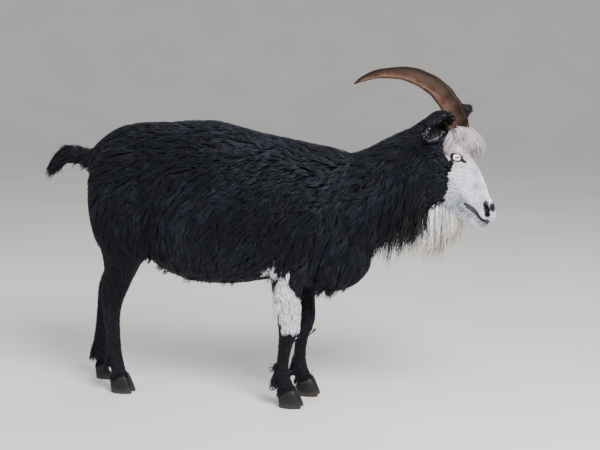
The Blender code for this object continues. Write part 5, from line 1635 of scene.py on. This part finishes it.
# %% [markdown]
# An ear is a leaf rolled into a cup. A flat grid is bent by one formula, which says where a
# point at some share of the length and width lies, and solidify gives the leaf its thickness.
# The same formula then says where the ear's hair grows.

# %% Ear leaves
EAR_ROOT = Vector((0.461, 0.040, 0.761))
# Directions are for an ear on the left and are mirrored for the right one
EAR_DIRECTION = {"right": Vector((-0.17, 0.96, 0.13)), "left": Vector((0.41, 0.86, 0.32))}
EAR_OPENING = {"right": Vector((0.55, 0.55, -0.58)), "left": Vector((0.80, 0.20, -0.50))}
EAR_DROOP = 0.016
EAR_LENGTH = 0.108
EAR_HALF_WIDTH = 0.040
EAR_THICKNESS = 0.0026
EAR_MESHES = (34, 26)  # along and across the leaf
RIM_CLUMPS = 26  # on each edge


def ear_point(side, u, v):
    """A place on the ear's leaf: u from root to tip, v from edge to edge, -1 to 1."""
    mirror = Vector((1, SIDES[side], 1))
    out = (EAR_DIRECTION[side] * mirror).normalized()
    opening = EAR_OPENING[side] * mirror
    opening = (opening - out * opening.dot(out)).normalized()
    across = out.cross(opening)
    opened = min(1.0, u / 0.55)
    opened = opened * opened * (3 - 2 * opened)
    width = EAR_HALF_WIDTH * (0.26 + 0.74 * opened) * (1 - 0.70 * max(0.0, u - 0.62) / 0.38)
    roll = math.radians(150 - 75 * min(1.0, u * 1.6))
    radius = width / max(0.3, math.sin(min(roll, math.pi / 2)))
    angle = roll * v
    offset = across * radius * math.sin(angle) + opening * radius * (0.35 - math.cos(angle))
    offset *= 1 - 0.55 * max(0.0, (u - 0.875) / 0.125) ** 2
    spine = EAR_ROOT * mirror + out * EAR_LENGTH * u - Vector((0, 0, EAR_DROOP)) * u * u
    return spine + offset


def ear_out(side, u, v):
    """The way out of the ear's back at that place."""
    step = 0.01
    along = ear_point(side, min(u + step, 1), v) - ear_point(side, max(u - step, 0), v)
    around = ear_point(side, u, min(v + step, 1)) - ear_point(side, u, max(v - step, -1))
    out = along.cross(around).normalized()
    mirror = Vector((1, SIDES[side], 1))
    return -out if out.dot(EAR_OPENING[side] * mirror) > 0 else out


def ear(side):
    """The leaf of one ear, bent and given its thickness."""
    bm = bmesh.new()
    rows, columns = EAR_MESHES
    bmesh.ops.create_grid(bm, x_segments=rows, y_segments=columns, size=1.0)
    mark = bm.verts.layers.float_color.new("marking")
    bare = bm.verts.layers.float.new("bare")
    for vert in bm.verts:
        u, v = (vert.co.x + 1) / 2, vert.co.y
        vert[mark] = linear("#1d191b")
        vert[bare] = 0.0
        vert.co = ear_point(side, u, v)
    bmesh.ops.recalc_face_normals(bm, faces=bm.faces)
    bmesh.ops.solidify(bm, geom=bm.faces[:], thickness=EAR_THICKNESS)
    bmesh.ops.recalc_face_normals(bm, faces=bm.faces)
    return mesh_object("ear_leaf_" + side, bm)


# %% [markdown]
# Tufts cover both faces of the leaf. The rims carry longer hair in small clumps: dark and
# short on the upper edge, pale and loose on the lower one.

# %% Ears with their hair
EAR_TUFTS = 4400
EAR_TIP = 0.93  # past this share of the length, tufts point on past the tip
EAR_HAIR = {"out": 0.009, "in": 0.0075}  # lengths on the back and in the cup
for side in SIDES:
    show(ear(side), HIDE, "ear", "ear_" + side)
    outs, paths = [], []
    for _ in range(EAR_TUFTS):
        u, v = rng.uniform(0.02, 1.0), rng.uniform(-1, 1)
        outside = rng.random() < 0.6
        out = ear_out(side, u, v) * (1 if outside else -1)
        root = ear_point(side, u, v)
        length = rng.uniform(0.75, 1.2) * EAR_HAIR["out" if outside else "in"]
        if u < EAR_TIP:
            tip_way = ear_point(side, min(1.0, u + length / EAR_LENGTH), v) - root
        else:
            tip_way = root - ear_point(side, 0.8, v)
        stray = Vector(rng.normal(0, 0.09, 3).tolist())
        way = (tip_way.normalized() + stray).normalized()
        base = root + out * EAR_THICKNESS * 0.3
        paths.append([base - out * 0.0008, base + way * length * 0.5 + out * 0.0010,
                      base + way * length + out * 0.0011])
        outs.append([out] * 3)
    wide, deep = tapered(len(paths), 2, 0.0009, 0.0004, rng)
    tone = rng.uniform(0.6, 1.3, (len(paths), 1))
    show_coat("ear_coat_" + side, *BLACK_COAT, np.array(paths), np.array(outs), wide, deep,
              BLACK * tone * 0.7, BLACK * tone * 1.4)
    lower = min((-1, 1), key=lambda edge: ear_point(side, 0.5, edge).z)
    clumps = []
    for edge in (-1, 1):
        for u in np.linspace(0.10, 0.97, RIM_CLUMPS):
            root = ear_point(side, u, edge * rng.uniform(0.93, 1.0))
            ahead_of = ear_point(side, min(1, u + 0.05), edge) - ear_point(side, u - 0.05, edge)
            inward = (ear_point(side, u, edge * 0.6) - root).normalized()
            way = (ahead_of.normalized() * 0.7 + inward * rng.uniform(-0.5, 0.7)).normalized()
            long = rng.uniform(0.007, 0.013) if edge == lower else rng.uniform(0.004, 0.007)
            drop = Vector((0, 0, -1)) * long * 0.25
            clumps.append((root, [root + way * long * 0.4, root + way * long * 0.75 + drop * 0.5,
                                  root + way * long + drop]))
    paths = hanging([(np.array(a), [np.array(p) for p in b]) for a, b in clumps], 12, 3, rng,
                    (0.0025, 0.0025, 0.0025), gather=0.4, stray=0.004, wave=0.001)
    pale = rng.random(len(paths)) < np.repeat([0.30 if edge == lower else 0.04
                                               for edge in (-1, 1)], len(paths) // 2)
    show_strands("ear_rim_pale_" + side, *WHITE_COAT, paths[pale], 0.0006, WHITE * 0.30,
                 WHITE * 0.55, rng)
    show_strands("ear_rim_dark_" + side, *BLACK_COAT, paths[~pale], 0.0008, BLACK, BLACK * 1.6, rng)

# %% [markdown]
# The eyeballs are turned spheres, and each vertex keeps its place in the gaze map: level
# with the ground, so that the slit of the pupil is level too, as it stays on a living goat
# whichever way it tilts its head.

# %% Eyes
CORNEA_FROM, CORNEA_RISE = 0.70, 0.05  # shares of the eyeball's radius


def eyeball(side):
    """A ball with a bulging cornea, and its gaze map."""
    sign = SIDES[side]
    middle = head_point(EYE_AT[0], EYE_AT[1], sign * EYE_AT[2])
    outward = Vector((0.24, sign, 0.02)).normalized()
    level = Vector((0, 0, 1)).cross(outward).normalized()
    above = outward.cross(level)
    bm = bmesh.new()
    gaze = bm.verts.layers.float_vector.new("gaze")
    ball(bm, middle, (EYE_RADIUS,) * 3, segments=64)
    for vert in bm.verts:
        off = (vert.co - middle) / EYE_RADIUS
        vert[gaze] = (off.dot(level), off.dot(above), off.dot(outward))
        # The cornea bulges a little over the iris
        bulge = max(0.0, off.dot(outward) - CORNEA_FROM) / (1 - CORNEA_FROM)
        vert.co += outward * EYE_RADIUS * CORNEA_RISE * bulge
    return mesh_object("eyeball_" + side, bm)


for side in SIDES:
    show(eyeball(side), WET_EYE, "eye", "eye_" + side)
print("eyes", round(EYE_RADIUS * 2000, 1), "mm across")

# %% [markdown]
# A hoof is two horny toes with a cleft between them. Each toe is lofted up its height from
# circles that are drawn to a point in front, and leans back as it rises to the coronet, which
# slopes down to the heel. The sole's edge is rounded by wear. Two small dewclaws sit behind.

# %% Hooves
CLAW_LENGTH, CLAW_WIDTH = 0.060, 0.0245
CLAW_HEIGHT, HEEL_HEIGHT = 0.042, 0.027
CLEFT = 0.0016
STANCE = 0.055
# Height as a share, length and width as shares, how far ahead in metres
CLAW_LEVELS = [(0.0, 0.95, 0.88, 0.0045), (0.03, 1.0, 0.96, 0.0050), (0.12, 1.01, 1.0, 0.0045),
               (0.35, 0.96, 1.0, 0.0025), (0.6, 0.90, 0.98, 0.0), (0.85, 0.84, 0.95, -0.0025),
               (1.0, 0.80, 0.90, -0.004), (1.25, 0.66, 0.74, -0.006)]
CLAW_SIDES = 40
HOOF_AHEAD = 0.004  # how far in front of the leg's lowest section a hoof's middle lies
FETLOCK_ROW = -3  # the row of a leg's table that holds its fetlock
DEWCLAW_RADII = (0.0075, 0.0065, 0.0095)
DEWCLAW_SLANT = math.radians(-35)


def claw(bm, foot, offset):
    """One toe: rings from the sole up, bridged one to the next."""
    before = None
    for i, (share, length, width, ahead) in enumerate(CLAW_LEVELS):
        ends = i in (0, len(CLAW_LEVELS) - 1)
        made = bmesh.ops.create_circle(bm, segments=CLAW_SIDES, radius=1.0, cap_ends=ends)["verts"]
        for vert in made:
            c, s = vert.co.x, vert.co.y
            taper = 1 - 0.42 * max(0.0, c) ** 1.6
            x = foot.x + ahead + CLAW_LENGTH / 2 * length * c
            line = HEEL_HEIGHT + (CLAW_HEIGHT - HEEL_HEIGHT) * (c + 1) / 2
            side = CLAW_WIDTH / 2 * width * taper * math.copysign(abs(s) ** 0.7, s)
            vert.co = Vector((x, foot.y + offset + side, line * share))
        before = bridged(bm, before, made)


def hoof(kind, side):
    """Two toes under a leg, and two dewclaws behind its fetlock."""
    x = LEGS[kind][-1][0] + FOOT_SHIFT[kind, side] + HOOF_AHEAD
    foot = Vector((x, SIDES[side] * STANCE, 0))
    bm = bmesh.new()
    for inner in (-1, 1):
        claw(bm, foot, (CLAW_WIDTH + CLEFT) / 2 * SIDES[side] * -inner)
    x, z, depth, width, out = LEGS[kind][FETLOCK_ROW]
    behind = x + FOOT_SHIFT[kind, side] - depth * 0.80
    slant = Matrix.Rotation(DEWCLAW_SLANT, 3, "Y")
    for inner in (-1, 1):
        place = Vector((behind, SIDES[side] * out + inner * width * 0.42, z - 0.010))
        ball(bm, place, DEWCLAW_RADII, slant, segments=20)
    bmesh.ops.recalc_face_normals(bm, faces=bm.faces)
    return mesh_object(f"hoof_{kind}_{side}", bm)


for kind, side in FOOT_SHIFT:
    nodes = [f"claw_{kind}_{side}_{which}" for which in ("inner", "outer")]
    show(hoof(kind, side), HOOF_KERATIN, "hoof", *nodes)
print("coat in all", coat_total, "triangles")

# %% [markdown]
# The studio is plain: a pale floor, a pale sky round it for soft light from everywhere, one
# large soft key light beside the camera as the photograph's flash was, a weaker one from the
# other side, and one from behind and above that draws a rim of light along the black back.

# %% Floor and lights
def floor_material():
    """Pale seamless paper with faint clouding."""
    made, tree = new_material("Seamless studio paper")
    place = add(tree, "TexCoord", {})
    cloud = add(tree, "TexNoise", {"Vector": place.outputs["Object"], "Scale": 1.5, "Detail": 2.0})
    tone = add(tree, "ValToRGB", {0: cloud}, stops=((0.3, "#cfccc8"), (0.7, "#d6d4d1")))
    shader = add(tree, "BsdfPrincipled", {"Base Color": tone, "Roughness": 0.9})
    add(tree, "OutputMaterial", {"Surface": shader})
    return made


FLOOR_RADIUS, COVE_RADIUS, WALL_TOP = 9.0, 4.0, 6.5
COVE_STEPS = 16


def studio():
    """A round floor that curves up into a wall, spun from one profile so no corner shows."""
    bm = bmesh.new()
    profile = [(0.0, 0.0), (FLOOR_RADIUS, 0.0)]
    for step in range(1, COVE_STEPS + 1):
        turn = math.pi / 2 * step / COVE_STEPS
        profile.append((FLOOR_RADIUS + COVE_RADIUS * math.sin(turn),
                        COVE_RADIUS * (1 - math.cos(turn))))
    profile.append((FLOOR_RADIUS + COVE_RADIUS, WALL_TOP))
    verts = [bm.verts.new((x, 0, z)) for x, z in profile]
    edges = [bm.edges.new(pair) for pair in zip(verts, verts[1:])]
    bmesh.ops.spin(bm, geom=verts + edges, cent=(0, 0, 0), axis=(0, 0, 1), angle=2 * math.pi,
                   steps=72, use_merge=True)
    bmesh.ops.remove_doubles(bm, verts=bm.verts, dist=0.001)
    bmesh.ops.recalc_face_normals(bm, faces=bm.faces)
    return mesh_object("studio floor and wall", bm)


floor = studio()
floor.data.shade_smooth()
floor.data.materials.append(floor_material())

world = bpy.data.worlds.new("Pale studio")
bpy.context.scene.world = world
world.use_nodes = True
sky = world.node_tree.nodes["Background"].inputs
sky["Color"].default_value = linear("#e6e8ec")
sky["Strength"].default_value = 0.95

GOAT_MIDDLE = Vector((0.08, 0.0, 0.45)) + SHIFT


def aimed(name, data, azimuth, elevation, distance, middle):
    """Puts a lamp or a camera round a place, by degrees and metres, and turns it to look there."""
    a, e = math.radians(azimuth), math.radians(elevation)
    back = Vector((math.sin(a) * math.cos(e), -math.cos(a) * math.cos(e), math.sin(e)))
    made = placed(name, data)
    made.location = middle + back * distance
    made.rotation_euler = (-back).to_track_quat("-Z", "Y").to_euler()
    return made


def soft_light(name, azimuth, elevation, distance, size, watts):
    """A square softbox that looks at the goat's middle."""
    data = bpy.data.lights.new(name, "AREA")
    data.size = size
    data.energy = watts
    aimed(name, data, azimuth, elevation, distance, GOAT_MIDDLE)


soft_light("key", 42, 42, 3.2, 1.4, 235)
soft_light("fill", -45, 25, 3.5, 2.0, 40)
soft_light("rim", 200, 52, 3.2, 1.4, 22)
print("lamps", [lamp.name for lamp in bpy.data.lights])

# %% [markdown]
# The photograph was taken from a little ahead of the goat and above its back. The lens comes
# from the photo's framing: 996 pixels of focal length on 600 of width.

# %% Camera
AZIMUTH, ELEVATION = 15.0, 8.85
AIM = Vector((0.08, 0.0, 0.485)) + SHIFT
DISTANCE = 2.65
SENSOR = 36.0
FOCAL_PIXELS, PHOTO_WIDTH = 996.0, 600
camera_data = bpy.data.cameras.new("camera")
camera_data.sensor_width = SENSOR
camera_data.lens = FOCAL_PIXELS / PHOTO_WIDTH * SENSOR
camera = aimed("camera", camera_data, AZIMUTH, ELEVATION, DISTANCE, AIM)
bpy.context.scene.camera = camera
print("camera at", [round(c, 3) for c in camera.location], "lens", round(camera_data.lens, 1))
